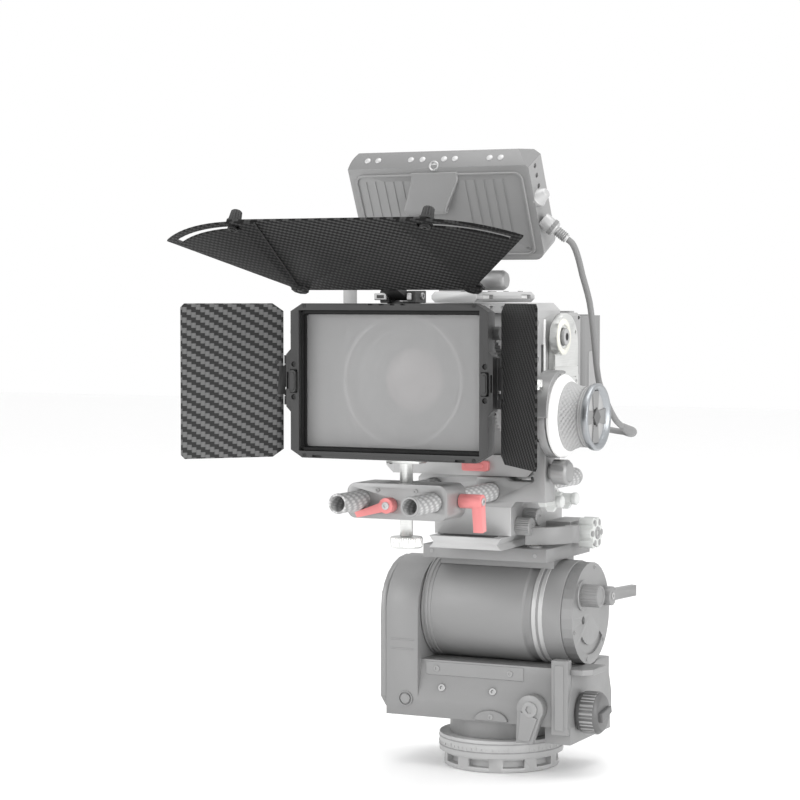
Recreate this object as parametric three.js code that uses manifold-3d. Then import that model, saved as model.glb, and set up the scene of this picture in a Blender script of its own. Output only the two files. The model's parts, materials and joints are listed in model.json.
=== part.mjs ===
// Cinema camera rig: a matte box with flags, a camera in a cage on 15 mm rods, a follow focus,
// a tilting monitor with its cable, and the fluid head that carries it all.
// Millimetres, +Z up. The lens looks along -Y and the origin is the centre of the head's underside.
import * as THREE from "three";
import { mergeVertices } from "three/addons/utils/BufferGeometryUtils.js";
import Module from "manifold-3d";

const wasm = await Module();
wasm.setup();

// ---------------------------------------------------------------- driving dimensions
const GAP = 0.3;
const LENS_Z = 326;
const TILT_Z = 130;
const ROD = { radius: 7.5, bore: 6, halfSpacing: 30, z: 235, front: -239, rear: 88, hole: 7.8 };
const WALL_DROP = 6;
const DRUM = { radius: 43, left: -54.7, right: 70, journal: 15 };
const MATTE = { front: -216, frameDepth: 8.4, halfWidth: 82.6, halfHeight: 59, rear: -181.3 };
const APERTURE = { halfWidth: 75.5, halfHeight: 53.75 };
const SHEET = 1.6;
const TOP_FLAG = { hingeY: -186, hingeZ: 390.5, rise: 26, rearY: -28.9, length: 113, halfWidth: 80 };
const WING = { pivotX: 72, inset: 4, radius: 110, slotIn: 100, slotOut: 105, open: 41, inner: -8 };
const SIDE_FLAG = { hingeX: 90, hingeY: -207, width: 82, halfHeight: 59, start: 4 };
const SIDE_FLAG_HEADING = { left: -132.2, right: -49.5 };
const MONITOR = { pivotY: -83, pivotZ: 403, tilt: 26, left: -81, right: 75, bottom: 16.6, top: 105 };
const MONITOR_DEPTH = { back: 2.5, ridge: 16.5, screen: 29.5 };
const DIAL = [-52, 358];
const FOCUS = { axisY: -80, axisZ: 296, gearX: 57, gearRadius: 17.4, ringRadius: 47, gearY: [-107, -93.3] };
const CAGE = { halfWidth: 65, wall: 8, bottom: 247.3, top: 385, front: -86, rear: -32 };
const CABLE_RADIUS = 2.5;

// Route of the monitor cable, from the monitor's plug to the port in the camera's side.
const CABLE_ROUTE = [
  [94.2, -89.5, 434.7],
  [97.4, -88.1, 431.8],
  [99.8, -83.2, 423],
  [100.6, -74, 407],
  [101.4, -60.5, 386],
  [102, -52, 357],
  [103, -43.7, 323],
  [104, -26, 303],
  [105, -8.5, 289],
  [105, 14, 281.5],
  [103, 33, 278],
  [94, 43, 277],
  [82, 38, 279],
  [75, 26, 282],
  [72.5, 16, 284],
  [68, 10.8, 285],
  [62.6, 10, 285],
];

// ---------------------------------------------------------------- finishes
const FINISH = {
  black: [0x2b2b2d, 0.55, 0.2],
  carbon: [0x3a3a3c, 0.45, 0.1],
  grey: [0x8f8f90, 0.6, 0.3],
  pale: [0xb4b4b4, 0.55, 0.3],
  silver: [0xd6d8d6, 0.35, 0.7],
  white: [0xf0f0f0, 0.5, 0],
  red: [0xdc6464, 0.5, 0.3],
  rubber: [0x5a5a5c, 0.85, 0],
  glass: [0xa8aaac, 0.1, 0],
};

function material(finish) {
  const [color, roughness, metalness] = FINISH[finish];
  return new THREE.MeshStandardMaterial({ color, roughness, metalness });
}

// ---------------------------------------------------------------- shape helpers
const radians = THREE.MathUtils.degToRad;

// Turns a shape made along Z (extrusions) so that it runs along the named axis.
function alongAxis(geometry, axis) {
  const x = new THREE.Vector3(1, 0, 0);
  const y = new THREE.Vector3(0, 1, 0);
  const z = new THREE.Vector3(0, 0, 1);
  const matrix = new THREE.Matrix4();
  if (axis === "x") matrix.makeBasis(y, z, x);
  if (axis === "y") matrix.makeBasis(x, z, y.clone().negate());
  return geometry.applyMatrix4(matrix);
}

function block(low, high) {
  const size = high.map((value, i) => value - low[i]);
  const middle = high.map((value, i) => (value + low[i]) / 2);
  return new THREE.BoxGeometry(...size).translate(...middle);
}

// Outline across the axis: (y, z) for x, (x, z) for y and (x, y) for z.
function prism(axis, outline, from, to, holes = []) {
  const shape = outline instanceof THREE.Shape ? outline : polygon(outline);
  shape.holes.push(...holes);
  const options = { depth: to - from, bevelEnabled: false, curveSegments: 4 };
  const geometry = new THREE.ExtrudeGeometry(shape, options);
  geometry.translate(0, 0, axis === "y" ? -to : from);
  return alongAxis(geometry, axis);
}

function polygon(points) {
  return new THREE.Shape(points.map(([u, v]) => new THREE.Vector2(u, v)));
}

function roundedRectangle(low, high, radius) {
  const shape = new THREE.Shape();
  const corners = [
    [high[0] - radius, low[1] + radius, -90],
    [high[0] - radius, high[1] - radius, 0],
    [low[0] + radius, high[1] - radius, 90],
    [low[0] + radius, low[1] + radius, 180],
  ];
  for (const [u, v, start] of corners) {
    shape.absarc(u, v, radius, radians(start), radians(start + 90), false);
  }
  return shape;
}

function chamferedRectangle(low, high, across, up) {
  return [
    [low[0] + across, low[1]],
    [high[0] - across, low[1]],
    [high[0], low[1] + up],
    [high[0], high[1] - up],
    [high[0] - across, high[1]],
    [low[0] + across, high[1]],
    [low[0], high[1] - up],
    [low[0], low[1] + up],
  ];
}

// Turned piece: profile points are [radius, place along the axis].
function turned(axis, profile, centre = [0, 0], sides = 24) {
  const points = profile.map(([radius, along]) => new THREE.Vector2(radius, along));
  const geometry = new THREE.LatheGeometry(points, sides).rotateX(Math.PI / 2);
  const placed = {
    x: [0, centre[0], centre[1]],
    y: [centre[0], 0, centre[1]],
    z: [centre[0], centre[1], 0],
  };
  if (axis === "x") geometry.rotateY(Math.PI / 2);
  if (axis === "y") geometry.rotateX(-Math.PI / 2);
  return geometry.translate(...placed[axis]);
}

function bar(axis, radius, from, to, centre = [0, 0], sides = 24) {
  return turned(axis, [[0, from], [radius, from], [radius, to], [0, to]], centre, sides);
}

// Closed indexed mesh with its faces turned outward.
function closedMesh(geometry) {
  const bare = geometry.index ? geometry.clone() : mergeVertices(geometry);
  bare.deleteAttribute("normal");
  bare.deleteAttribute("uv");
  const merged = mergeVertices(bare, 1e-4);
  const position = merged.attributes.position;
  const corners = [0, 1, 2].map(() => new THREE.Vector3());
  const index = [];
  let volume = 0;
  for (let i = 0; i < merged.index.count; i += 3) {
    const triangle = [0, 1, 2].map((k) => merged.index.getX(i + k));
    if (new Set(triangle).size < 3) continue;
    triangle.forEach((vertex, k) => corners[k].fromBufferAttribute(position, vertex));
    volume += corners[0].dot(corners[1].clone().cross(corners[2]));
    index.push(...triangle);
  }
  if (volume < 0) index.reverse();
  merged.setIndex(index);
  return merged;
}

function solid(geometry) {
  const mesh = closedMesh(geometry);
  const vertProperties = new Float32Array(mesh.attributes.position.array);
  const triVerts = new Uint32Array(mesh.index.array);
  return new wasm.Manifold(new wasm.Mesh({ numProp: 3, vertProperties, triVerts }));
}

function toGeometry(manifold) {
  const mesh = manifold.getMesh();
  const geometry = new THREE.BufferGeometry();
  geometry.setAttribute("position", new THREE.BufferAttribute(new Float32Array(mesh.vertProperties), 3));
  geometry.setIndex([...mesh.triVerts]);
  return geometry;
}

function join(...pieces) {
  return toGeometry(pieces.map(solid).reduce((all, piece) => all.add(piece)));
}

function cut(body, ...tools) {
  return toGeometry(tools.map(solid).reduce((rest, tool) => rest.subtract(tool), solid(body)));
}

// ---------------------------------------------------------------- scene graph
const rig = new THREE.Group();

function group(position, rotation) {
  const child = new THREE.Group();
  child.position.set(...position);
  child.rotation.set(...rotation.map(radians));
  rig.add(child);
  return child;
}

function add(name, geometry, finish, parent = rig) {
  const closed = closedMesh(geometry);
  closed.computeVertexNormals();
  const mesh = new THREE.Mesh(closed, material(finish));
  mesh.name = name;
  parent.add(mesh);
}

// ---------------------------------------------------------------- fluid head
function headBase() {
  const foot = bar("z", 48, 0, 13, [0, 0], 32);
  const windows = [];
  for (let i = 0; i < 10; i += 1) {
    const pocket = block([-9, 41, 3.5], [9, 60, 10]);
    windows.push(pocket.rotateZ(radians(36 * i)));
  }
  const disc = bar("z", 52, 12, 26.7, [0, 0], 32);
  const spindle = bar("z", 12, 26, 40, [0, 0], 16);
  return join(cut(foot, ...windows), disc, spindle);
}

function headCasting() {
  const section = [
    [-48, 42],
    [-48, 58],
    [-42, 75],
    [-42, 89],
    [42, 89],
    [42, 75],
    [48, 58],
    [48, 42],
  ];
  const neck = bar("z", 43, 27, 43, [0, 0], 32);
  const floor = prism("x", section, -84, 80);
  const rightFoot = block([58, -45, 28], [80, 45, 60]);
  const housing = prism("x", housingOutline(48, 42, 10), -84, -55);
  const body = join(neck, floor, rightFoot, housing);
  const drumSpace = bar("x", DRUM.radius + 0.5, DRUM.left - GAP, 90, [0, TILT_Z], 40);
  const bearing = bar("x", DRUM.journal + GAP, -70, -50, [0, TILT_Z], 20);
  const spindleHole = bar("z", 12 + GAP, 20, 40.5, [0, 0], 16);
  return cut(body, drumSpace, bearing, spindleHole);
}

// Side wall of the head: round about the tilt axis, with cut lower corners.
function housingOutline(radius, bottom, chamfer) {
  const shape = new THREE.Shape();
  shape.moveTo(-radius + chamfer, bottom);
  shape.lineTo(radius - chamfer, bottom);
  shape.lineTo(radius, bottom + chamfer);
  shape.lineTo(radius, TILT_Z);
  for (let i = 1; i <= 12; i += 1) {
    const angle = (Math.PI * i) / 12;
    shape.lineTo(radius * Math.cos(angle), TILT_Z + (radius - WALL_DROP) * Math.sin(angle));
  }
  shape.lineTo(-radius, bottom + chamfer);
  return shape;
}

function tiltDrum() {
  const { radius, left, right, journal } = DRUM;
  const groove = radius - 2;
  const profile = [
    [0, -68],
    [journal, -68],
    [journal, left],
    [radius, left],
    [radius, 36],
    [groove, 38],
    [groove, 43],
    [radius, 45],
    [radius, right],
    [0, right],
  ];
  return turned("x", profile, [0, TILT_Z], 40);
}

function headPlatform() {
  const deck = block([-50, -48, 175], [60, 48, 186]);
  const neck = block([-46, -22, 155], [56, 22, 176]);
  const jaw = block([38, 4, 180], [60, 46, 204]);
  const drumSpace = bar("x", DRUM.radius + GAP, -60, 90, [0, TILT_Z], 40);
  const plateSpace = block([-33, -50, 186], [33, 50, 210]);
  return cut(join(deck, neck, jaw), drumSpace, plateSpace);
}

// Curved lever round the front right corner of the platform.
function plateReleaseLever() {
  const arm = new THREE.Shape();
  arm.absarc(28, -6, 44, radians(-72), radians(-12), false);
  arm.absarc(28, -6, 38, radians(-12), radians(-72), true);
  const hub = bar("z", 6, 189, 203, [68, -12], 16);
  return join(prism("z", arm, 189, 203), hub);
}

function starKnob() {
  const knob = bar("x", 11, 66, 80, [14, 195], 20);
  const petals = [];
  for (let i = 0; i < 6; i += 1) {
    const angle = radians(60 * i);
    petals.push(bar("x", 4.5, 67, 79, [14 + 9.5 * Math.cos(angle), 195 + 9.5 * Math.sin(angle)], 10));
  }
  return join(knob, ...petals, bar("x", 5, 60.3, 70, [14, 195], 12));
}

function tiltLockLever() {
  const hub = bar("x", 8, 80.3, 90, [24, 142], 16);
  const fin = prism("z", [[82, 24], [90, 24], [96, 64], [91, 66]], 138, 147);
  return join(hub, fin);
}

function panLockLever() {
  const hub = bar("y", 11.5, -58, -48.3, [50, 57], 20);
  const arm = prism("y", [[39, 58], [60, 52], [52, 29], [38, 29]], -58, -52);
  return join(hub, arm);
}

add("head_base", headBase(), "grey");
add("head_casting", headCasting(), "grey");
add("head_side_cover", prism("x", housingOutline(47, 46, 10), -90, -84.3), "pale");
const panKnobProfile = [[0, 80.3], [15, 80.3], [17, 84], [17, 97], [14, 100], [0, 100]];
add("pan_drag_knob", turned("x", panKnobProfile, [-22, 52], 20), "black");
add("pan_lock_lever", panLockLever(), "pale");
add("tilt_drum", tiltDrum(), "grey");
add("tilt_end_cap", bar("x", 42, 70.3, 80, [0, TILT_Z], 32), "pale");
add("tilt_drag_knob", turned("x", [[0, 80.3], [9, 80.3], [9, 95], [8, 97], [0, 97]], [-20, 147], 20), "grey");
add("tilt_lock_lever", tiltLockLever(), "pale");
add("head_platform", headPlatform(), "grey");
add("plate_lock_knob", starKnob(), "silver");
add("plate_release_lever", plateReleaseLever(), "grey");

// ---------------------------------------------------------------- plate, rods and lens support
function slidePlate() {
  const dovetail = [[-32, 186.3], [32, 186.3], [28, 191], [32, 196.3], [-32, 196.3], [-28, 191]];
  return prism("y", dovetail, -75, 75);
}

function rodHoles(from, to) {
  return [-1, 1].map((side) => bar("y", ROD.hole, from, to, [side * ROD.halfSpacing, ROD.z], 20));
}

function rodBase() {
  const riser = block([-34, -60, 196.6], [34, 50, 223]);
  const clamp = prism("y", chamferedRectangle([-44, 222], [44, 247], 4, 4), -70, -10);
  return cut(join(riser, clamp), ...rodHoles(-80, 60));
}

function rod(side) {
  const { radius, bore, front, rear } = ROD;
  const profile = [[bore, front], [radius, front], [radius, rear], [bore, rear], [bore, front]];
  return turned("y", profile, [side * ROD.halfSpacing, ROD.z], 24);
}

function quickLever(y) {
  const hub = bar("x", 5, 44.3, 57, [y, 231], 14);
  const arm = prism("x", [[y - 4, 231], [y + 3, 236], [y + 20, 226], [y + 18, 221]], 50, 56);
  return join(hub, arm);
}

function lensSupportBracket() {
  const bracket = prism("y", roundedRectangle([-42, 221], [42, 248], 7), -200, -166);
  const postHole = bar("z", 5.3, 210, 260, [0, -183], 16);
  return cut(bracket, postHole, ...rodHoles(-210, -150));
}

function supportPost() {
  const post = bar("z", 5, 207, 264, [0, -183], 16);
  return join(post, block([-14, -190, 263], [14, -176, 268.1]));
}

function frontLockLever() {
  const hub = bar("y", 6, -209, -200.3, [-5, 232], 16);
  const arm = prism("y", [[-5, 236], [-4, 228], [-30, 222], [-32, 226]], -208, -203);
  return join(hub, arm);
}

function sideLockLever() {
  const hub = bar("x", 5.5, 42.3, 61, [-176, 235], 14);
  const arm = prism("x", [[-180, 236], [-172, 236], [-169, 212], [-176, 211]], 53, 61);
  return join(hub, arm);
}

add("slide_plate", slidePlate(), "pale");
add("rod_base", rodBase(), "grey");
add("rod_left", rod(-1), "carbon");
add("rod_right", rod(1), "carbon");
add("quick_lever_front", quickLever(-54), "silver");
add("quick_lever_rear", quickLever(-22), "silver");
add("lens_support_bracket", lensSupportBracket(), "grey");
add("support_post", supportPost(), "silver");
const supportDiscProfile = [[0, 198], [12, 198], [13, 200], [13, 205], [12, 206.7], [0, 206.7]];
add("support_disc", turned("z", supportDiscProfile, [0, -183]), "silver");
add("front_lock_lever", frontLockLever(), "red");
add("side_lock_lever", sideLockLever(), "red");

// ---------------------------------------------------------------- camera, cage and battery
function cameraBody() {
  const body = prism("y", chamferedRectangle([-56.4, 264.4], [56.4, 376.6], 3, 3), -78, 34);
  const lensMount = bar("y", 36, -81.7, -77, [0, LENS_Z], 32);
  const port = bar("x", 6, 55, 62, [10, 285], 12);
  return join(body, lensMount, port);
}

function cameraCage() {
  const { halfWidth, wall, bottom, top, front, rear } = CAGE;
  const outer = prism("y", chamferedRectangle([-halfWidth, bottom], [halfWidth, top], 6, 6), front, rear);
  const inner = block([wall - halfWidth, front - 5, 264], [halfWidth - wall, rear + 5, 377]);
  const windows = [];
  for (const z of [275, 318]) {
    windows.push(block([-80, front + 14, z], [80, front + 24, z + 34]));
    windows.push(block([-80, front + 32, z], [80, front + 42, z + 34]));
  }
  const shoe = block([-64, -86, 384], [-50, -72, 393]);
  return join(cut(outer, inner, ...windows), shoe);
}

function topRail() {
  const rail = prism("y", chamferedRectangle([-20, 385.3], [20, 394], 3, 3), -96, 22);
  const slots = [-84, -6].map((y) => block([14, y, 388], [30, y + 20, 391.5]));
  return cut(rail, ...slots);
}

// Handle on the left of the cage: a round bar with a thicker grip, on two arms.
function sideHandle() {
  const post = bar("z", 5.7, 262, 396, [-95, -92], 14);
  const grip = turned("z", [[0, 292], [9, 292], [11, 300], [11, 344], [9, 352], [0, 352]], [-95, -92], 16);
  const arms = [270, 364].map((z) => block([-99, -97, z], [-65.3, -76, z + 10]));
  return join(post, grip, ...arms);
}

// Silver plate on the right of the cage, round at the top, with a raised dial.
function sidePlate() {
  const outline = new THREE.Shape();
  outline.moveTo(-57, 318);
  outline.lineTo(-8, 318);
  outline.lineTo(-8, 352);
  outline.absarc(-32.5, 352, 24.5, 0, Math.PI, false);
  const plate = join(prism("x", outline, 65.3, 71), bar("x", 15, 70, 76, DIAL, 24));
  return cut(plate, bar("x", 7.4, 73.4, 80, DIAL, 16));
}

function lensBarrel() {
  const profile = [
    [0, -168],
    [25.5, -168],
    [26, -171],
    [41, -184],
    [44, -184],
    [44, -150],
    [40, -146],
    [40, -92],
    [34, -88],
    [34, -82],
    [0, -82],
  ];
  return turned("y", profile, [0, LENS_Z], 32);
}

function frontElement() {
  const profile = [[0, -168.3], [25, -168.3], [20, -171], [12, -173.2], [0, -174]];
  return turned("y", profile, [0, LENS_Z], 32);
}

add("camera_body", cameraBody(), "grey");
add("camera_cage", cameraCage(), "grey");
add("top_rail", topRail(), "pale");
add("side_handle", sideHandle(), "grey");
add("side_plate", sidePlate(), "silver");
add("record_button", bar("x", 7, 75, 78.5, DIAL, 16), "grey");
add("battery_plate", block([-40, 34.3, 262], [46, 46, 378]), "grey");
add("battery", prism("z", roundedRectangle([-48, 46.3], [54, 90], 6), 268, 374), "grey");
add("lens_barrel", lensBarrel(), "black");
add("front_element", frontElement(), "glass");

// ---------------------------------------------------------------- follow focus
function followFocusBracket() {
  const outline = [
    [18, 223],
    [48, 223],
    [52, 228],
    [77, 228],
    [77, 276],
    [67.3, 276],
    [67.3, 244],
    [47, 244],
    [43, 246.8],
    [18, 246.8],
  ];
  return cut(prism("y", outline, -92, -72), bar("y", ROD.hole, -100, -60, [ROD.halfSpacing, ROD.z], 20));
}

function followFocusGearbox() {
  const { gearX, axisY, axisZ } = FOCUS;
  const side = prism("x", roundedRectangle([-92.7, 276.3], [-62, 318], 6), 67.3, 81);
  const flange = bar("x", 33, 78, 84.6, [axisY, axisZ], 32);
  const web = prism("y", roundedRectangle([46, 284], [74, 308], 6), -92.7, -86.8);
  const gearHole = bar("y", 3.3, -95, -80, [gearX, axisZ], 12);
  const wheelHole = bar("x", 5.3, 75, 86, [axisY, axisZ], 14);
  return cut(join(side, flange, web), gearHole, wheelHole);
}

function driveGear() {
  const { gearX, axisZ, gearRadius, gearY } = FOCUS;
  const profile = [
    [0, gearY[0]],
    [gearRadius, gearY[0]],
    [gearRadius, gearY[1]],
    [3, gearY[1]],
    [3, -88],
    [0, -88],
  ];
  return turned("y", profile, [gearX, axisZ], 24);
}

function focusRing() {
  const { ringRadius, gearY } = FOCUS;
  const bore = 40.4;
  const profile = [[bore, gearY[0]], [ringRadius, gearY[0]], [ringRadius, gearY[1]], [bore, gearY[1]],
    [bore, gearY[0]]];
  return turned("y", profile, [0, LENS_Z], 40);
}

function markingDisc() {
  const profile = [[0, 76], [5, 76], [5, 84.9], [31, 84.9], [33, 86.2], [33, 88.5], [28.5, 93.5], [0, 93.5]];
  return turned("x", profile, [FOCUS.axisY, FOCUS.axisZ], 32);
}

function wheelGrip() {
  const profile = [
    [0, 93.8],
    [27.5, 93.8],
    [25, 100],
    [24.3, 109],
    [26, 112],
    [26.5, 117],
    [23, 118],
    [20, 113.5],
    [0, 113.5],
  ];
  return turned("x", profile, [FOCUS.axisY, FOCUS.axisZ], 32);
}

add("ff_bracket", followFocusBracket(), "grey");
add("ff_clamp_knob", turned("x", [[0, 77.3], [6, 77.3], [6, 80], [10, 81], [10, 92], [8, 94], [0, 94]],
  [-82, 252], 20), "grey");
add("ff_gearbox", followFocusGearbox(), "grey");
add("ff_drive_gear", driveGear(), "grey");
add("focus_ring", focusRing(), "black");
add("ff_marking_disc", markingDisc(), "white");
add("ff_grip", wheelGrip(), "pale");

// ---------------------------------------------------------------- matte box
function frameOutline() {
  const { halfWidth: w, halfHeight: h } = MATTE;
  const ear = 86.5;
  return [
    [-w + 10, -h], [w - 10, -h], [w, -h + 6], [w, -24], [ear, -20], [ear, 20], [w, 24], [w, h - 6],
    [w - 10, h], [-w + 10, h], [-w, h - 6], [-w, 24], [-ear, 20], [-ear, -20], [-w, -24], [-w, -h + 6],
  ].map(([x, z]) => [x, z + LENS_Z]);
}

function matteFrame() {
  const { front, frameDepth } = MATTE;
  const { hingeX, hingeY } = SIDE_FLAG;
  const frame = prism("y", frameOutline(), front, front + frameDepth);
  const lugs = [];
  const tools = [];
  for (const side of [-1, 1]) {
    for (const z of [LENS_Z - 19, LENS_Z + 12.3]) {
      const inner = Math.min(side * 84, side * hingeX);
      const outer = Math.max(side * 84, side * hingeX);
      lugs.push(block([inner, hingeY - 2, z], [outer, hingeY + 2, z + 6.7]));
      lugs.push(bar("z", 2.8, z, z + 6.7, [side * hingeX, hingeY], 14));
    }
    tools.push(bar("z", 1.8, LENS_Z - 25, LENS_Z + 25, [side * hingeX, hingeY], 10));
    tools.push(block([side * 80 - 3.1, front - 1, 316.6], [side * 80 + 3.1, front + 4, 334.4]));
  }
  const { halfWidth, halfHeight } = APERTURE;
  const low = [-halfWidth, front - 5, LENS_Z - halfHeight];
  const high = [halfWidth, front + 15, LENS_Z + halfHeight];
  tools.push(block(low, high));
  return cut(join(frame, ...lugs), ...tools);
}

// Shell in two steps: a wide rim that holds the filter, and a narrower box behind it.
function matteBody() {
  const front = MATTE.front + MATTE.frameDepth + GAP;
  const step = -200.5;
  const rim = prism("y", chamferedRectangle([-80.5, 268.5], [80.5, 383.5], 8, 5), front, step + 2);
  const box = prism("y", chamferedRectangle([-62, 271], [62, 381], 14, 14), step, MATTE.rear);
  const rimSpace = prism("y", chamferedRectangle([-78.5, 270.5], [78.5, 381.5], 8, 5), front - 5, step);
  const boxSpace = prism("y", chamferedRectangle([-60, 273], [60, 379], 13, 13), step - 5, MATTE.rear - 2.5);
  return cut(join(rim, box), rimSpace, boxSpace, bar("y", 47.8, -190, -170, [0, LENS_Z], 40));
}

function clampRing() {
  const profile = [
    [44.4, -190], [47.4, -190], [47.4, -181], [52, -181], [52, -178], [44.4, -178], [44.4, -190],
  ];
  return turned("y", profile, [0, LENS_Z], 40);
}

function filterGlass() {
  return prism("y", chamferedRectangle([-78.1, 270.9], [78.1, 381.1], 8, 5), -205.5, -202);
}

function releaseButton(side) {
  const x = side * 80;
  return prism("y", roundedRectangle([x - 2.7, 317], [x + 2.7, 334], 2.4), -218.4, -213.8);
}

function flagBracket() {
  const { hingeY, hingeZ } = TOP_FLAG;
  const foot = block([-11, -194, 383.8], [11, -181, 386.5]);
  const ears = [-1, 1].map((side) => {
    const from = side < 0 ? -11 : 7.6;
    const outline = [[hingeY - 4, 386], [hingeY + 4, 386], [hingeY + 3, 394], [hingeY - 3, 394]];
    return prism("x", outline, from, from + 3.4);
  });
  return cut(join(foot, ...ears), bar("x", 2.3, -20, 20, [hingeY, hingeZ], 12));
}

// The flags below are drawn with their hinge at the group's origin.
function topFlag() {
  const { rearY, length, halfWidth } = TOP_FLAG;
  const frontY = rearY - length;
  const sheet = block([-halfWidth, frontY, -9.1], [halfWidth, rearY, -9.1 + SHEET]);
  const armOutline = [
    [-36, -8], [-26, -8], [-6, -5.5], [0, -3], [0, 3], [-8, -0.5], [-30, -3.5], [-36, -5],
  ];
  const arm = prism("x", armOutline, -7.2, 7.2);
  const barrel = bar("x", 3.5, -7.2, 7.2, [0, 0], 14);
  const pin = bar("x", 2, -10.8, 10.8, [0, 0], 12);
  const holes = [];
  for (const side of [-1, 1]) {
    holes.push(bar("z", 1.8, -12, -5, [side * WING.pivotX, rearY - WING.inset], 10));
    holes.push(bar("z", 2.3, -12, -5, knobPlace(side), 10));
  }
  return cut(join(sheet, arm, barrel, pin), ...holes);
}

// Where a wing's clamp knob stands: on the slot's middle radius, almost straight ahead of the pivot.
function knobPlace(side) {
  const radius = (WING.slotIn + WING.slotOut) / 2;
  return wingPoint(side, radius, 3);
}

function wingPoint(side, radius, angle) {
  const x = WING.pivotX + radius * Math.sin(radians(angle));
  const y = TOP_FLAG.rearY - WING.inset - radius * Math.cos(radians(angle));
  return [side * x, y];
}

function arcPoints(side, radius, from, to, steps) {
  const points = [];
  for (let i = 0; i <= steps; i += 1) points.push(wingPoint(side, radius, from + ((to - from) * i) / steps));
  return points;
}

function wing(side) {
  const { radius, slotIn, slotOut, open, inner } = WING;
  const outline = [...arcPoints(side, radius, inner, open, 14), ...arcPoints(side, 7, open, inner + 360, 8)];
  const slot = [...arcPoints(side, slotIn, -0.5, 37, 10), ...arcPoints(side, slotOut, 37, -0.5, 10)];
  const sheet = prism("z", outline, -11.1, -11.1 + SHEET, [new THREE.Path(polygon(slot).getPoints())]);
  const [x, y] = wingPoint(side, 0, 0);
  return cut(sheet, bar("z", 1.8, -15, -5, [x, y], 10));
}

function wingKnob(side) {
  const profile = [[0, -12.8], [4, -12.8], [4, -11.4], [2, -11.4], [2, -7.2], [5.5, -7.2], [4.6, 5], [0, 5]];
  return turned("z", profile, knobPlace(side), 16);
}

function sideFlag(side) {
  const { width, halfHeight, start } = SIDE_FLAG;
  const outline = [
    [start + 9, -halfHeight], [start + width - 3, -halfHeight], [start + width, -halfHeight + 3],
    [start + width, halfHeight - 3], [start + width - 3, halfHeight], [start + 9, halfHeight],
    [start, halfHeight - 6], [start, -halfHeight + 6],
  ];
  const low = side < 0 ? 0.3 : -0.3 - SHEET;
  const sheet = prism("y", outline, low, low + SHEET);
  const barrel = bar("z", 2.8, -12, 12, [0, 0], 14);
  const pin = bar("z", 1.5, -18, 18, [0, 0], 10);
  const clip = block([0, Math.min(0, low), -11], [start + 10, Math.max(0, low + SHEET), 11]);
  return join(sheet, barrel, pin, clip);
}

add("matte_frame", matteFrame(), "black");
add("matte_body", matteBody(), "black");
add("clamp_ring", clampRing(), "black");
add("filter_glass", filterGlass(), "glass");
add("release_left", releaseButton(-1), "black");
add("release_right", releaseButton(1), "black");
add("flag_bracket", flagBracket(), "black");

const topHinge = group([0, TOP_FLAG.hingeY, TOP_FLAG.hingeZ], [-TOP_FLAG.rise, 0, 0]);
add("top_flag", topFlag(), "carbon", topHinge);
for (const [name, side] of [["left", -1], ["right", 1]]) {
  add(`wing_${name}`, wing(side), "carbon", topHinge);
  add(`wing_knob_${name}`, wingKnob(side), "black", topHinge);
  const hingePlace = [side * SIDE_FLAG.hingeX, SIDE_FLAG.hingeY, LENS_Z];
  const sideHinge = group(hingePlace, [0, 0, SIDE_FLAG_HEADING[name]]);
  add(`side_flag_${name}`, sideFlag(side), "carbon", sideHinge);
}

// ---------------------------------------------------------------- monitor
function monitorMount() {
  const { pivotY, pivotZ } = MONITOR;
  const foot = block([-14, -95, 394.3], [14, -71, 396.7]);
  const ears = [-14, 9].map((x) => {
    const outline = [[pivotY - 8, 396], [pivotY + 8, 396], [pivotY + 6, 410], [pivotY - 6, 410]];
    return prism("x", outline, x, x + 5);
  });
  return cut(join(foot, ...ears), bar("x", 3, -20, 20, [pivotY, pivotZ], 12));
}

function monitorArm() {
  const lug = prism("x", [[-4, -4], [4, -4], [5, 4], [13, 12], [13, 16.3], [-1, 16.3], [-5, 8]], -8.7, 8.7);
  return join(lug, bar("x", 2.7, -13.6, 13.6, [0, 0], 12));
}

// Housing with a ridge along its top: the top slopes down from there to the back and to the screen.
function monitorHousing() {
  const { left, right, bottom, top } = MONITOR;
  const { back, ridge, screen } = MONITOR_DEPTH;
  const housing = prism("y", roundedRectangle([left, bottom], [right, top], 8), back, screen);
  const backSlope = [[back - 2, top - 9.2], [ridge, top], [ridge, top + 5], [back - 2, top + 5]];
  const screenSlope = [[ridge, top], [screen + 2, top - 6.9], [screen + 2, top + 5], [ridge, top + 5]];
  const corner = [[right - 13, top + 1], [right + 1, top + 1], [right + 1, top - 11]];
  return cut(
    housing,
    prism("x", backSlope, left - 5, right + 5),
    prism("x", screenSlope, left - 5, right + 5),
    prism("y", corner, back - 1, screen + 1),
  );
}

// Angled plug in the monitor's right side, ending in a tapered strain relief.
function monitorPlug() {
  const along = turned("z", [[0, 0], [6, 0], [6, 13], [3.6, 14], [3.6, 24.5], [0, 24.5]], [0, 0], 14);
  along.rotateY(radians(135)).translate(76.5, 8, 49);
  return cut(along, block([60, -10, 20], [75.3, 30, 70]));
}

const monitorHinge = group([0, MONITOR.pivotY, MONITOR.pivotZ], [MONITOR.tilt, 0, 0]);
add("monitor_mount", monitorMount(), "grey");
add("monitor_arm", monitorArm(), "grey", monitorHinge);
add("monitor_knob", turned("x", [[0, 14.3], [4, 14.3], [4, 18], [8, 19], [8, 37], [6, 40], [0, 40]],
  [MONITOR.pivotY, MONITOR.pivotZ], 16), "grey");
add("monitor_housing", monitorHousing(), "pale", monitorHinge);
add("monitor_plug", monitorPlug(), "grey", monitorHinge);

function monitorCable() {
  const route = new THREE.CatmullRomCurve3(CABLE_ROUTE.map((point) => new THREE.Vector3(...point)), false,
    "centripetal");
  const section = new THREE.Shape();
  section.absarc(0, 0, CABLE_RADIUS, 0, 2 * Math.PI, false);
  return new THREE.ExtrudeGeometry(section, { steps: 34, curveSegments: 4, extrudePath: route });
}

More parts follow.
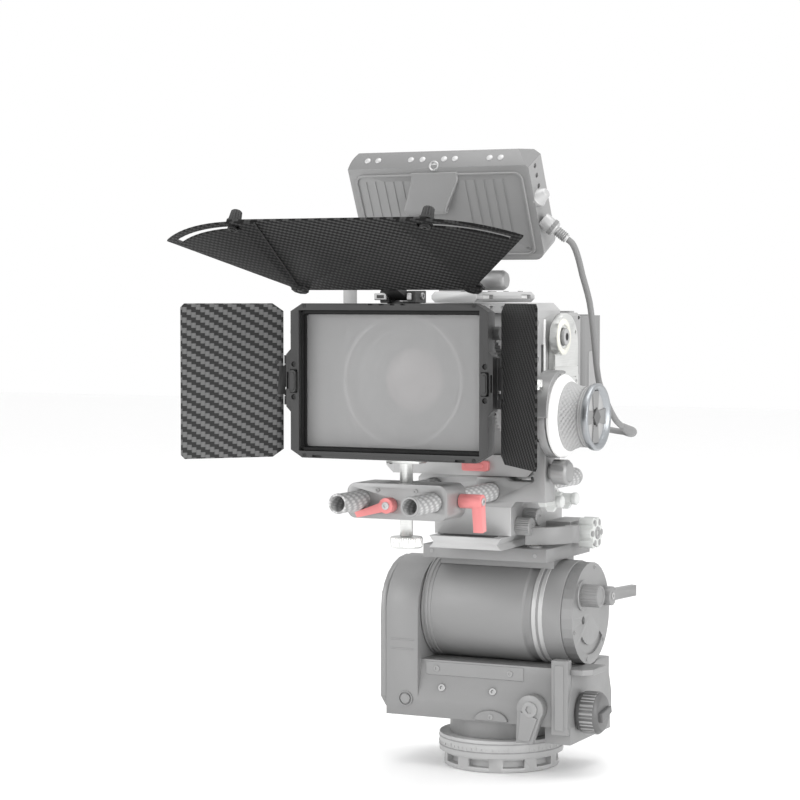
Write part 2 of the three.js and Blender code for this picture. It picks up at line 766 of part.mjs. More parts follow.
add("monitor_cable", monitorCable(), "rubber");

export default rig;
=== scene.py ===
"""Cinema camera rig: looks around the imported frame. Lengths in the helpers are millimetres, row frame."""
import json
import math

import bmesh
import bpy
from mathutils import Matrix, Vector
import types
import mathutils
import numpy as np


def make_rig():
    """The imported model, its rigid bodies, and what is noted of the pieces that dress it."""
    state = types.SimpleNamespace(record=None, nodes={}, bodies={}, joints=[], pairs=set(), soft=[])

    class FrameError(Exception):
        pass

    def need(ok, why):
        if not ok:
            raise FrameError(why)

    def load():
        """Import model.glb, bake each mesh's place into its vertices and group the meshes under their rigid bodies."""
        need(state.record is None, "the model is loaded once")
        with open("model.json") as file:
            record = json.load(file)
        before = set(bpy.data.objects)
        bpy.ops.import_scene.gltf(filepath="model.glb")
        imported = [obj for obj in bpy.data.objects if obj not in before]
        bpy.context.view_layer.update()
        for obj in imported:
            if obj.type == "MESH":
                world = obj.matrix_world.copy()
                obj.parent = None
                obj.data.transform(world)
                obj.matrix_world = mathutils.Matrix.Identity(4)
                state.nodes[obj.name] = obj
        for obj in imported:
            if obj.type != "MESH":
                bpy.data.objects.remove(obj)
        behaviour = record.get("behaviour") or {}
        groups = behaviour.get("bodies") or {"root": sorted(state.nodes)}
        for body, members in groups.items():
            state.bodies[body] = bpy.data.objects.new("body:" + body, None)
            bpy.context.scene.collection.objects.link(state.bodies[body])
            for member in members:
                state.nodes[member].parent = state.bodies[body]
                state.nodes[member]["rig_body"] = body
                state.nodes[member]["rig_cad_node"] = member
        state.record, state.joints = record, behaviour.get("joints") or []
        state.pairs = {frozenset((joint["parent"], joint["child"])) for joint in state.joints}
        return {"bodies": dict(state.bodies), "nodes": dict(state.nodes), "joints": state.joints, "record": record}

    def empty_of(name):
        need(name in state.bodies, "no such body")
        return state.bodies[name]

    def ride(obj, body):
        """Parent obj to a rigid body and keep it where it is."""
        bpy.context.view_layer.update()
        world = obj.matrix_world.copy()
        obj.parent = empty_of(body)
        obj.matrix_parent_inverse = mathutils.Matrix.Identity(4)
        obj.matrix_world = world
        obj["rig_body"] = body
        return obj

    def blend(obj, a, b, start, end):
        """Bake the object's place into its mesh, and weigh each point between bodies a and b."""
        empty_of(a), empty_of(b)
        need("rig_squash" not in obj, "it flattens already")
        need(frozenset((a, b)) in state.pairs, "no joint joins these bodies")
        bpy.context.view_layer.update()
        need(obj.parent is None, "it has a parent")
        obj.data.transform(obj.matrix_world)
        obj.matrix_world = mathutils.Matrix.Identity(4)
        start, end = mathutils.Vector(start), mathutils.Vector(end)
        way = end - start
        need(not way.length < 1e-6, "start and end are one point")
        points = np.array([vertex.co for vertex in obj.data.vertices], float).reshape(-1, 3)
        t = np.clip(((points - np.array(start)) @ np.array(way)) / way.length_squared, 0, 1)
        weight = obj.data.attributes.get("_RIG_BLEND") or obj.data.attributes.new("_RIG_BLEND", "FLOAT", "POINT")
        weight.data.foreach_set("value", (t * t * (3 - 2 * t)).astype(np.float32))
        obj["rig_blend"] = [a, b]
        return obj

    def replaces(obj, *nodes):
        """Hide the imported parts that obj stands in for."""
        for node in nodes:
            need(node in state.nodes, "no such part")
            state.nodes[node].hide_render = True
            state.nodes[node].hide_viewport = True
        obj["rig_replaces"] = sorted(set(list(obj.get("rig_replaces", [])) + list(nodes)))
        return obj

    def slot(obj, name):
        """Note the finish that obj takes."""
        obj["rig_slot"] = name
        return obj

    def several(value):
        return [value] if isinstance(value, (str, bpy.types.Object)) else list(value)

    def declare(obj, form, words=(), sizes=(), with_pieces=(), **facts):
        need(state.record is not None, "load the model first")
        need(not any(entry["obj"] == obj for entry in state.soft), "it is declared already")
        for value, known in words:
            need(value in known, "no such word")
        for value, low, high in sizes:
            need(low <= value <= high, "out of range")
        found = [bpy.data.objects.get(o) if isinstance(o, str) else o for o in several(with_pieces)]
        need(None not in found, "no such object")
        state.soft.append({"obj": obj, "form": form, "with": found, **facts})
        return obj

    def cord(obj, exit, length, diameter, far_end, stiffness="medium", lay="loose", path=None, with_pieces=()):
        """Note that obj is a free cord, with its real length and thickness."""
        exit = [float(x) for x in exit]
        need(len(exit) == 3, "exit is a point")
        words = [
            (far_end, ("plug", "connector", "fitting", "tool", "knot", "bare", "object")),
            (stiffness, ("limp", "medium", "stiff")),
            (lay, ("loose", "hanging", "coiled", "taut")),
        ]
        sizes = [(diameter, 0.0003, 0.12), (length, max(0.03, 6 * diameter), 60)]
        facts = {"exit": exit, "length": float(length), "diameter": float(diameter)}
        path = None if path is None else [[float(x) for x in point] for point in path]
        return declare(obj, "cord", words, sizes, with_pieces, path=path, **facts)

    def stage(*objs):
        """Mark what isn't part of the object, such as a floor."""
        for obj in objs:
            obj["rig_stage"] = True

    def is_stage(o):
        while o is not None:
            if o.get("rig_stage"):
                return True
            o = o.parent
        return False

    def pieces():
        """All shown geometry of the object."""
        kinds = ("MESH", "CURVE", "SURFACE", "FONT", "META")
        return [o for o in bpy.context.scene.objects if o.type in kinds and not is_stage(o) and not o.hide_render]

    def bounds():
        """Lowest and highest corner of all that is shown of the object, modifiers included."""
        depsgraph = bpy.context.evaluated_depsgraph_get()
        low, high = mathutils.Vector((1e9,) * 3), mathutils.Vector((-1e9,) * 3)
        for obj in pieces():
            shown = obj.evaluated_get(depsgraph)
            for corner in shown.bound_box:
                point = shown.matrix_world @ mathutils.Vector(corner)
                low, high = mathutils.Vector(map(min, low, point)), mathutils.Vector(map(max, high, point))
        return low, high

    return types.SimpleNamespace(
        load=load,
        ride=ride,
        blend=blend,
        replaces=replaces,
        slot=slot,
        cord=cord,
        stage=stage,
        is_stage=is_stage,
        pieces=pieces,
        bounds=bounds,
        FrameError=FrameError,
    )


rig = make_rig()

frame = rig.load()
CAD_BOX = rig.bounds()
MM = 0.001
ROD_X = 30
ROD_Z = 235
MATTE_FRONT = -216
CASTING_FRONT = -47.6
WHEEL_AXIS = (-80, 296)
DIAL = (-52, 358)
STAR_KNOB = (14, 195)
TILT_KNOB = (-20, 147)
PAN_KNOB = (-22, 52)

# ------------------------------------------------------------------ driving places, from the frame
HINGES = {j["name"]: Vector(j.get("pos_m", (0, 0, 0))) / MM for j in frame["joints"]}
LENS_Z = HINGES["focus_ring_turn"].z
TILT_Z = HINGES["tilt"].z
FLAG_HINGE = HINGES["top_flag_tilt"]
MONITOR_HINGE = HINGES["monitor_tilt"]
FLAG_RISE = math.radians(26)
MONITOR_LEAN = math.radians(26)
SIDE_HEADING = {"left": math.radians(-132.2), "right": math.radians(-49.5)}


# ------------------------------------------------------------------ camera
def make_camera():
    data = bpy.data.cameras.new("camera")
    data.lens = 105.5
    data.sensor_width = 36
    camera = bpy.data.objects.new("camera", data)
    camera.location = (0.7797, -1.7928, 0.3913)
    camera.rotation_euler = (math.radians(90 - 2.564), 0, math.radians(26))
    bpy.context.scene.collection.objects.link(camera)
    bpy.context.scene.camera = camera


make_camera()


# ------------------------------------------------------------------ node materials
class Finish:
    """A principled material under construction: short calls add its nodes."""

    def __init__(self, name):
        self.material = bpy.data.materials.new(name)
        self.material.use_nodes = True
        self.tree = self.material.node_tree
        self.shader = self.tree.nodes["Principled BSDF"]
        self.place = self.add("ShaderNodeTexCoord").outputs["Object"]

    def add(self, kind, **settings):
        node = self.tree.nodes.new(kind)
        for key, value in settings.items():
            setattr(node, key, value)
        return node

    def feed(self, socket, value):
        if isinstance(value, bpy.types.NodeSocket):
            self.tree.links.new(value, socket)
        else:
            socket.default_value = value

    def math(self, operation, a, b=0.0, clamp=False):
        node = self.add("ShaderNodeMath", operation=operation, use_clamp=clamp)
        self.feed(node.inputs[0], a)
        self.feed(node.inputs[1], b)
        return node.outputs[0]

    def along(self, direction, origin=(0, 0, 0)):
        """Distance in millimetres along a direction of the row frame."""
        node = self.add("ShaderNodeVectorMath", operation="DOT_PRODUCT")
        self.feed(node.inputs[0], self.place)
        node.inputs[1].default_value = Vector(direction) / MM
        return self.math("SUBTRACT", node.outputs["Value"], Vector(direction).dot(Vector(origin)))

    def noise(self, scale, detail=3.0, stretch=(1, 1, 1), roughness=0.5):
        mapping = self.add("ShaderNodeMapping")
        self.feed(mapping.inputs["Vector"], self.place)
        mapping.inputs["Scale"].default_value = stretch
        node = self.add("ShaderNodeTexNoise")
        self.feed(node.inputs["Vector"], mapping.outputs[0])
        node.inputs["Scale"].default_value = scale
        node.inputs["Detail"].default_value = detail
        node.inputs["Roughness"].default_value = roughness
        return node.outputs["Fac"]

    def span(self, value, low, high):
        """Maps 0..1 to low..high."""
        node = self.add("ShaderNodeMapRange")
        self.feed(node.inputs["Value"], value)
        node.inputs["To Min"].default_value = low
        node.inputs["To Max"].default_value = high
        return node.outputs["Result"]

    def mix(self, factor, a, b):
        node = self.add("ShaderNodeMix", data_type="RGBA")
        self.feed(node.inputs["Factor"], factor)
        self.feed(node.inputs["A"], a)
        self.feed(node.inputs["B"], b)
        return node.outputs["Result"]

    def bump(self, height, distance, strength=1.0):
        node = self.add("ShaderNodeBump")
        node.inputs["Distance"].default_value = distance * MM
        node.inputs["Strength"].default_value = strength
        self.feed(node.inputs["Height"], height)
        self.feed(self.shader.inputs["Normal"], node.outputs["Normal"])

    def set(self, **values):
        for key, value in values.items():
            self.feed(self.shader.inputs[key.replace("_", " ")], value)


def grey(value, tint=(1, 1, 1)):
    return (value * tint[0], value * tint[1], value * tint[2], 1)


def painted(name, value, rough=0.5, metallic=0.0, grain=0.03, tint=(1, 1, 1), vary=0.12, fine=2600):
    """Paint, blasted anodising or moulded plastic: fine grain, slight clouding, uneven gloss."""
    f = Finish(name)
    clouds = f.noise(14, 4)
    speck = f.noise(fine, 2)
    dark = grey(value * (1 - vary), tint)
    light = grey(value * (1 + vary), tint)
    cloudy = f.mix(clouds, dark, light)
    f.set(Base_Color=f.mix(f.span(speck, 0, 0.35), cloudy, grey(value * 1.25, tint)))
    f.set(Metallic=metallic, Roughness=f.span(f.noise(90, 3), rough - 0.06, rough + 0.08))
    f.bump(speck, grain)
    return f.material


def brushed(name, value, rough=0.32, stretch=(1, 40, 1), tint=(1, 1, 1)):
    """Machined metal with fine lines across the stretched axes."""
    f = Finish(name)
    lines = f.noise(60, 5, stretch)
    f.set(Base_Color=f.mix(lines, grey(value * 0.82, tint), grey(value * 1.12, tint)))
    f.set(Metallic=0.85, Roughness=f.span(lines, rough - 0.05, rough + 0.12))
    f.bump(lines, 0.02)
    return f.material


def twill(f, u, v, weft, warp, rough=0.5, relief=0.06, gloss=0.12, depth=0.75):
    """Carbon twill, two over and two under; u and v count tows. The warp and weft tones are painted sheen, lighter on
    the tows on top, and each tow is painted darker towards its edges, by depth, as shade between the tows.
    """
    steps = f.math("MODULO", f.math("ADD", f.math("FLOOR", u), f.math("FLOOR", v)), 4.0)
    wrapped = f.math("MODULO", f.math("ADD", steps, 4.0), 4.0)
    over = f.math("LESS_THAN", wrapped, 1.5)

    def crown(value):
        off = f.math("SUBTRACT", f.math("MULTIPLY", f.math("FRACT", value), 2.0), 1.0)
        return f.math("SUBTRACT", 1.0, f.math("MULTIPLY", off, off))

    height = f.add("ShaderNodeMix", data_type="FLOAT")
    f.feed(height.inputs["Factor"], over)
    f.feed(height.inputs["A"], crown(v))
    f.feed(height.inputs["B"], crown(u))
    fibres = f.noise(1500, 2, (1, 1, 1))
    # Painted sheen: the tows on top take the warp tone, the tows under them the weft tone.
    base = f.mix(over, weft, warp)
    # Painted shade: each tow darkens towards its edges, by depth.
    shade = f.mix(f.span(height.outputs["Result"], depth, 0.0), base, grey(0.004))
    f.set(Base_Color=f.mix(f.span(fibres, 0, 0.16), shade, warp))
    f.set(Roughness=f.span(height.outputs["Result"], rough + 0.15, rough))
    f.set(Specular_IOR_Level=gloss)
    f.bump(height.outputs["Result"], relief)


def carbon_sheet(name, across, up, origin, cells=(3.4, 2.0), weft=0.02, warp=0.06, depth=0.75):
    """Twill on a flat sheet, in the plane of two directions."""
    f = Finish(name)
    u = f.math("DIVIDE", f.along(across, origin), cells[0])
    v = f.math("DIVIDE", f.along(up, origin), cells[1])
    twill(f, u, v, grey(weft), grey(warp), depth=depth)
    return f.material


def carbon_tube(name, x, z, tows=20, pitch=2.3, weft=0.32, warp=0.52):
    """Twill wound on a tube that runs along Y."""
    f = Finish(name)
    dx = f.along((1, 0, 0), (x, 0, 0))
    dz = f.along((0, 0, 1), (0, 0, z))
    turn = f.math("MULTIPLY", f.math("ARCTAN2", dz, dx), tows / (2 * math.pi))
    run = f.math("DIVIDE", f.along((0, 1, 0)), pitch)
    twill(f, turn, run, grey(weft), grey(warp), 0.4, 0.1, 0.5, 0.35)
    return f.material


def glass(name, value, alpha, rough, tint=(1, 1, 1)):
    f = Finish(name)
    clouds = f.noise(6, 2)
    f.set(Base_Color=f.mix(clouds, grey(value * 0.97, tint), grey(value * 1.03, tint)))
    f.set(Roughness=f.span(clouds, rough, rough + 0.03), Alpha=alpha, IOR=1.5)
    return f.material


SIDE_ALONG = {s: (math.cos(a), math.sin(a), 0) for s, a in SIDE_HEADING.items()}
FORWARD_UP = (0, -math.cos(FLAG_RISE), math.sin(FLAG_RISE))

# Value, roughness, metallic, grain, then tint and variation where they differ from the defaults.
PAINTS = {
    "head_metal": (0.235, 0.45, 0.2, 0.04),
    "head_cover": (0.26, 0.42, 0.45, 0.03),
    "rig_metal": (0.295, 0.38, 0.5, 0.03),
    "pale_metal": (0.45, 0.4, 0.4, 0.02),
    "red_metal": (0.68, 0.38, 0.2, 0.02, (1, 0.33, 0.33)),
    "matte_plastic": (0.031, 0.5, 0.0, 0.03),
    "inner_black": (0.006, 0.8, 0.0, 0.03),
    "black_rubber": (0.014, 0.5, 0.0, 0.05),
    "white_plastic": (0.82, 0.42, 0.0, 0.01, (1, 1, 0.99), 0.04),
    "grey_plastic": (0.4, 0.5, 0.0, 0.02),
    "camera_plastic": (0.32, 0.55, 0.1, 0.06),
    "battery_case": (0.215, 0.6, 0.0, 0.06),
    "monitor_case": (0.28, 0.4, 0.25, 0.02),
    "handle_grip": (0.34, 0.6, 0.0, 0.05),
    "lens_metal": (0.05, 0.35, 0.3, 0.02),
    "cable_rubber": (0.2, 0.5, 0.0, 0.02),
    "ivory": (0.75, 0.4, 0.0, 0.01, (1, 0.99, 0.9), 0.04),
    "dark_hole": (0.01, 0.7, 0.0, 0.02),
    "grip_dark": (0.12, 0.4, 0.3, 0.03),
    "monitor_top": (0.19, 0.4, 0.25, 0.02),
    "star_white": (0.56, 0.4, 0.0, 0.02, (0.98, 1, 0.98)),
    "base_metal_painted_light": (0.4, 0.42, 0.2, 0.04),
    "cage_metal": (0.42, 0.4, 0.3, 0.03),
    "wing_edge_painted_light": (0.05, 0.5, 0.0, 0.03),
    "baffle_grey": (0.3, 0.5, 0.0, 0.03),
    "screw_black": (0.03, 0.35, 0.5, 0.02),
    "screw_grey": (0.3, 0.35, 0.5, 0.02),
}
OTHER_LOOKS = {
    brushed: {
        "silver_metal": (0.72, 0.3, (1, 1, 30), (1, 1.01, 0.99)),
        "ring_metal": (0.36, 0.3, (1, 1, 30), (0.96, 1, 1.04)),
        "steel": (0.5, 0.3, (1, 1, 1)),
    },
    glass: {
        "lens_glass": (0.4, 0.95, 0.1, (1.1, 0.95, 0.95)),
        "filter_glass": (0.5, 0.4, 0.4),
        "screen_glass": (0.012, 1.0, 0.08),
    },
    carbon_sheet: {
        "carbon_top": ((1, 0, 0), FORWARD_UP, FLAG_HINGE, (2.6, 1.4), 0.002, 0.05, 0.4),
        # Painted shade: the wings take a darker copy of the top flag's twill.
        "carbon_wing": ((1, 0, 0), FORWARD_UP, FLAG_HINGE, (2.6, 1.4), 0.002, 0.033, 0.4),
        # Painted sheen: the left flag's warp tone is much lighter, as light on one tow direction.
        "carbon_left": (SIDE_ALONG["left"], (0, 0, -1), (0, 0, 0), (3.6, 1.97), 0.022, 0.15, 0.22),
        "carbon_right": (SIDE_ALONG["right"], (0, 0, 1), (0, 0, 0), (1.7, 1.6), 0.002, 0.038, 0.3),
    },
    carbon_tube: {
        "carbon_rod_left": (-ROD_X, ROD_Z),
        "carbon_rod_right": (ROD_X, ROD_Z),
    },
}
LOOK = {name: painted(name, *values) for name, values in PAINTS.items()}
for make, rows in OTHER_LOOKS.items():
    LOOK.update({name: make(name, *values) for name, values in rows.items()})
SLOTS = {s["node"]: s["material_slot"] for s in frame["record"]["subparts"]}
SLOT_LOOK = {"carbon_sheet": "carbon_top", "carbon_tube": "carbon_rod_left"}
NODE_LOOK = {
    "side_flag_left": "carbon_left",
    "side_flag_right": "carbon_right",
    "rod_right": "carbon_rod_right",
    "wing_left": "carbon_wing",
    "wing_right": "carbon_wing",
    "monitor_plug": "pale_metal",
    "pan_drag_knob": "grip_dark",
    # Painted shade: the star knob and the quick levers' wings take a darker, greenish grey copy of the white plastic.
    "plate_lock_knob": "star_white",
    # Painted light: the base takes a lighter metal than the head's, against the shade from the head above it.
    "head_base": "base_metal_painted_light",
    "camera_cage": "cage_metal",
    "rod_base": "cage_metal",
}


# ------------------------------------------------------------------ mesh helpers
def finish_mesh(obj, bevel=0.3, angle=35):
    """Smooth shading with sharp edges kept, and a small round on each hard edge."""
    mesh = obj.data
    mesh.polygons.foreach_set("use_smooth", [True] * len(mesh.polygons))
    mesh.set_sharp_from_angle(angle=math.radians(angle))
    if bevel:
        weld = obj.modifiers.new("weld", "WELD")
        weld.merge_threshold = 0.00001
        round_edges = obj.modifiers.new("round_edges", "BEVEL")
        round_edges.width = bevel * MM
        round_edges.segments = 2
        round_edges.limit_method = "ANGLE"
        round_edges.angle_limit = math.radians(angle)
        round_edges.harden_normals = True
        round_edges.miter_outer = "MITER_ARC"


def linked(name, bm, scale=MM):
    """A scene object from a bmesh, which is freed."""
    bm.transform(Matrix.Scale(scale, 4))
    mesh = bpy.data.meshes.new(name)
    bm.to_mesh(mesh)
    bm.free()
    obj = bpy.data.objects.new(name, mesh)
    bpy.context.scene.collection.objects.link(obj)
    return obj


def piece(name, bm, look, body="camera_rig", slot=None, bevel=0.3, angle=35):
    """A new riding piece from a bmesh in millimetres."""
    bmesh.ops.recalc_face_normals(bm, faces=bm.faces)
    obj = linked(name, bm)
    obj.data.materials.append(LOOK[look])
    finish_mesh(obj, bevel, angle)
    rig.ride(obj, body)
    if slot or look in {m["slot"] for m in frame["record"]["materials"]}:
        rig.slot(obj, slot or look)
    return obj


TURNS = {
    "x": Matrix(((0, 0, 1, 0), (1, 0, 0, 0), (0, 1, 0, 0), (0, 0, 0, 1))),
    "y": Matrix(((1, 0, 0, 0), (0, 0, -1, 0), (0, 1, 0, 0), (0, 0, 0, 1))),
    "z": Matrix.Identity(4),
}


def add_prism(bm, axis, outline, start, end, matrix=None):
    """Outline across the axis: (y, z) for x, (x, z) for y and (x, y) for z."""
    if axis == "y":
        start, end = -end, -start
    place = (matrix or Matrix.Identity(4)) @ TURNS[axis]
    rings = []
    for height in (start, end):
        rings.append([bm.verts.new(place @ Vector((u, v, height))) for u, v in outline])
    count = len(outline)
    for i in range(count):
        j = (i + 1) % count
        bm.faces.new((rings[0][i], rings[0][j], rings[1][j], rings[1][i]))
    bm.faces.new(rings[0][::-1])
    bm.faces.new(rings[1])
    return bm


def add_box(bm, low, high, matrix=None):
    outline = [(low[0], low[1]), (high[0], low[1]), (high[0], high[1]), (low[0], high[1])]
    return add_prism(bm, "z", outline, low[2], high[2], matrix)


def add_turned(bm, axis, profile, centre=(0, 0), sides=32, shape=None, matrix=None):
    """Turned piece; shape(angle, along, radius) may change the radius. A profile end at radius 0 closes."""
    place = {
        "x": Matrix.Translation((0, centre[0], centre[1])),
        "y": Matrix.Translation((centre[0], 0, centre[1])),
        "z": Matrix.Translation((centre[0], centre[1], 0)),
    }[axis] @ TURNS[axis]
    place = (matrix or Matrix.Identity(4)) @ place
    sign = -1 if axis == "y" else 1
    rings = []
    for radius, along in profile:
        if radius < 1e-6:
            rings.append([bm.verts.new(place @ Vector((0, 0, sign * along)))])
            continue
        ring = []
        for i in range(sides):
            angle = 2 * math.pi * i / sides
            r = shape(angle, along, radius) if shape else radius
            ring.append(bm.verts.new(place @ Vector((r * math.cos(angle), r * math.sin(angle),
                sign * along))))
        rings.append(ring)
    for a, b in zip(rings, rings[1:]):
        if len(a) == 1 and len(b) == 1:
            continue
        for i in range(sides):
            j = (i + 1) % sides
            if len(a) == 1:
                bm.faces.new((a[0], b[j], b[i]))
            elif len(b) == 1:
                bm.faces.new((a[i], a[j], b[0]))
            else:
                bm.faces.new((a[i], a[j], b[j], b[i]))
    return bm


def turned_ring(bm, axis, profile, centre, sides, shape=None, matrix=None):
    """A turned ring whose closed profile never meets the axis."""
    before = set(bm.verts)
    add_turned(bm, axis, profile + [profile[0]], centre, sides, shape, matrix)
    added = [v for v in bm.verts if v not in before]
    bmesh.ops.remove_doubles(bm, verts=added, dist=1e-5)
    return bm


def ribbed(count, depth, beyond):
    """Shape of a grip: square ribs on the points whose radius is over a limit."""
    return lambda angle, along, r: r - depth * (math.cos(count * angle) > 0) if r > beyond else r


def box(*args, **options):
    return add_box(bmesh.new(), *args, **options)


def prism(*args, **options):
    return add_prism(bmesh.new(), *args, **options)


def turned(*args, **options):
    return add_turned(bmesh.new(), *args, **options)


def ring(*args, **options):
    return turned_ring(bmesh.new(), *args, **options)


def boxes(pairs):
    bm = bmesh.new()
    for low, high in pairs:
        add_box(bm, low, high)
    return bm


def ring_set(axis, profiles, centre, sides):
    bm = bmesh.new()
    for profile in profiles:
        turned_ring(bm, axis, profile, centre, sides)
    return bm


def rounded_rectangle(low, high, radius, steps=4):
    points = []
    quarter = [(high[0], low[1], -90), (high[0], high[1], 0), (low[0], high[1], 90), (low[0], low[1], 180)]
    for x, y, start in quarter:
        cx = x - radius if x == high[0] else x + radius
        cy = y - radius if y == high[1] else y + radius
        for i in range(steps + 1):
            a = math.radians(start + 90 * i / steps)
            points.append((cx + radius * math.cos(a), cy + radius * math.sin(a)))
    return points


def frame_ring(bm, axis, outer, inner, start, end, matrix=None):
    """A flat frame between two outlines with the same number of points."""
    if axis == "y":
        start, end = -end, -start
    place = (matrix or Matrix.Identity(4)) @ TURNS[axis]
    loops = []
    for outline in (outer, inner):
        for height in (start, end):
            loops.append([bm.verts.new(place @ Vector((u, v, height))) for u, v in outline])
    count = len(outer)
    for a, b in ((0, 1), (1, 3), (3, 2), (2, 0)):
        for i in range(count):
            j = (i + 1) % count
            bm.faces.new((loops[a][i], loops[a][j], loops[b][j], loops[b][i]))
    return bm


def facing(place, direction):
    """Matrix that puts a shape drawn along +Z at a place, with +Z turned to a direction."""
    return Matrix.Translation(place) @ Vector(direction).to_track_quat("Z", "Y").to_matrix().to_4x4()


def carved(node, cutter, bevel=0.3, angle=35, look=None):
    """Replaces a CAD node by its own shape with the cutter's pockets taken out of it."""
    source = frame["nodes"][node]
    bm = bmesh.new()
    bm.from_mesh(source.data)
    bmesh.ops.remove_doubles(bm, verts=bm.verts, dist=1e-6)
    shape = linked(node + "_shape", bm, 1)
    bmesh.ops.recalc_face_normals(cutter, faces=cutter.faces)
    tool = linked(node + "_tool", cutter)
    boolean = shape.modifiers.new("pockets", "BOOLEAN")
    boolean.operation = "DIFFERENCE"
    boolean.solver = "EXACT"
    boolean.use_self = True
    boolean.object = tool
    bpy.context.view_layer.update()
    depsgraph = bpy.context.evaluated_depsgraph_get()
    result = bpy.data.meshes.new_from_object(shape.evaluated_get(depsgraph))
    shape.modifiers.clear()
    shape.data = result
    result.name = node + "_shape"
    result.materials.clear()
    result.materials.append(LOOK[look or SLOT_LOOK.get(SLOTS[node], SLOTS[node])])
    bpy.data.objects.remove(tool)
    finish_mesh(shape, bevel, angle)
    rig.ride(shape, source["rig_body"])
    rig.slot(shape, SLOTS[node])
    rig.replaces(shape, node)
    return shape


# ------------------------------------------------------------------ fasteners
def add_socket_screw(bm, place, direction, radius=2.0, height=1.2, socket=0.5):
    """Round head with a hexagon socket, standing on a face."""
    matrix = facing(place, direction)
    hexagon = radius * socket
    profile = [(radius, -0.2), (radius, height * 0.75), (radius * 0.9, height)]
    sides = 24
    add_turned(bm, "z", [(0, -0.2)] + profile, sides=sides, matrix=matrix)
    rim = bm.verts[:][-sides:]
    inner = []
    floor = []
    for i in range(sides):
        angle = 2 * math.pi * i / sides
        reach = hexagon * math.cos(math.pi / 6) / math.cos((angle % (math.pi / 3)) - math.pi / 6)
        point = Vector((reach * math.cos(angle), reach * math.sin(angle), height))
        inner.append(bm.verts.new(matrix @ point))
        floor.append(bm.verts.new(matrix @ (point - Vector((0, 0, height * 0.7)))))
    for i in range(sides):
        j = (i + 1) % sides
        bm.faces.new((rim[i], rim[j], inner[j], inner[i]))
        bm.faces.new((inner[i], inner[j], floor[j], floor[i]))
    bm.faces.new(floor)


def screws(name, places, direction, look="screw_black", radius=2.0, height=1.2, body="camera_rig"):
    bm = bmesh.new()
    for place in places:
        add_socket_screw(bm, place, direction, radius, height)
    return piece(name, bm, look, body, bevel=0, angle=30)


# ------------------------------------------------------------------ monitor cable, made first
CABLE_ROUTE = [
    (94.2, -89.5, 434.7), (97.4, -88.1, 431.8), (99.8, -83.2, 423), (100.6, -74, 407), (101.4, -60.5, 386),
    (102, -52, 357), (103, -43.7, 323), (104, -26, 303), (105, -8.5, 289), (105, 14, 281.5), (103, 33, 278),
    (94, 43, 277), (82, 38, 279), (75, 26, 282), (72.5, 16, 284), (68, 10.8, 285), (62.6, 10, 285),
]


def spline(points, per_span=8):
    """Centripetal spline through the points."""
    points = [Vector(p) for p in points]
    points = [2 * points[0] - points[1]] + points + [2 * points[-1] - points[-2]]
    made = []
    for i in range(1, len(points) - 2):
        p = points[i - 1 : i + 3]
        t = [0]
        for a, b in zip(p, p[1:]):
            t.append(t[-1] + math.sqrt((b - a).length))
        for k in range(per_span):
            x = t[1] + (t[2] - t[1]) * k / per_span
            level = p
            for order in (1, 2, 3):
                level = [
                    (t[j + order] - x) / (t[j + order] - t[j]) * level[j]
                    + (x - t[j]) / (t[j + order] - t[j]) * level[j + 1]
                    for j in range(len(level) - 1)
                ]
            made.append(level[0])
    made.append(points[-2])
    return made


def swept(line, radii, sides, side):
    """A closed tube along the line, with a radius at each point."""
    bm = bmesh.new()
    rings = []
    for i, point in enumerate(line):
        forward = (line[min(i + 1, len(line) - 1)] - line[max(i - 1, 0)]).normalized()
        side = (side - forward * side.dot(forward)).normalized()
        other = forward.cross(side)
        turns = [2 * math.pi * k / sides for k in range(sides)]
        rings.append([bm.verts.new(point + radii[i] * (side * math.cos(t) + other * math.sin(t)))
                for t in turns])
    for a, b in zip(rings, rings[1:]):
        for k in range(sides):
            m = (k + 1) % sides
            bm.faces.new((a[k], a[m], b[m], b[k]))
    bm.faces.new(rings[0])
    bm.faces.new(rings[-1][::-1])
    bmesh.ops.recalc_face_normals(bm, faces=bm.faces)
    return bm


def make_cable():
    line = spline(CABLE_ROUTE)
    length = sum((b - a).length for a, b in zip(line, line[1:])) * MM
    obj = linked("cable", swept(line, [2.5] * len(line), 14, Vector((0, 0, 1))))
    obj.data.materials.append(LOOK["cable_rubber"])
    finish_mesh(obj, 0)
    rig.blend(obj, "camera_rig", "monitor", (0.102, -0.0085, 0.289), (0.0998, -0.0832, 0.423))
    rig.slot(obj, "cable_rubber")
    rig.replaces(obj, "monitor_cable")
    path = [tuple(p * MM) for p in line]
    # Moulded sleeve over the bend below the camera's port.
    sleeve = line[9 * 8 - 4 : 11 * 8 + 2]
    radii = [2.6 + 1.5 * math.sin(math.pi * i / (len(sleeve) - 1)) ** 0.6
            for i in range(len(sleeve) - 1)] + [2.6]
    bm = swept(sleeve, radii, 16, Vector((1, 0, 0)))
    sleeve_piece = piece("cable_sleeve", bm, "cable_rubber", bevel=0)
    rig.cord(obj, exit=path[-1], length=length, diameter=0.005, far_end="object", path=path,
        with_pieces=[frame["nodes"]["monitor_plug"], sleeve_piece])
    print("cable length", round(length, 4))


make_cable()

# ------------------------------------------------------------------ every CAD node gets its look
for name, node in frame["nodes"].items():
    look = NODE_LOOK.get(name) or SLOT_LOOK.get(SLOTS[name], SLOTS[name])
    node.data.materials.clear()
    node.data.materials.append(LOOK[look])
    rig.slot(node, SLOTS[name])

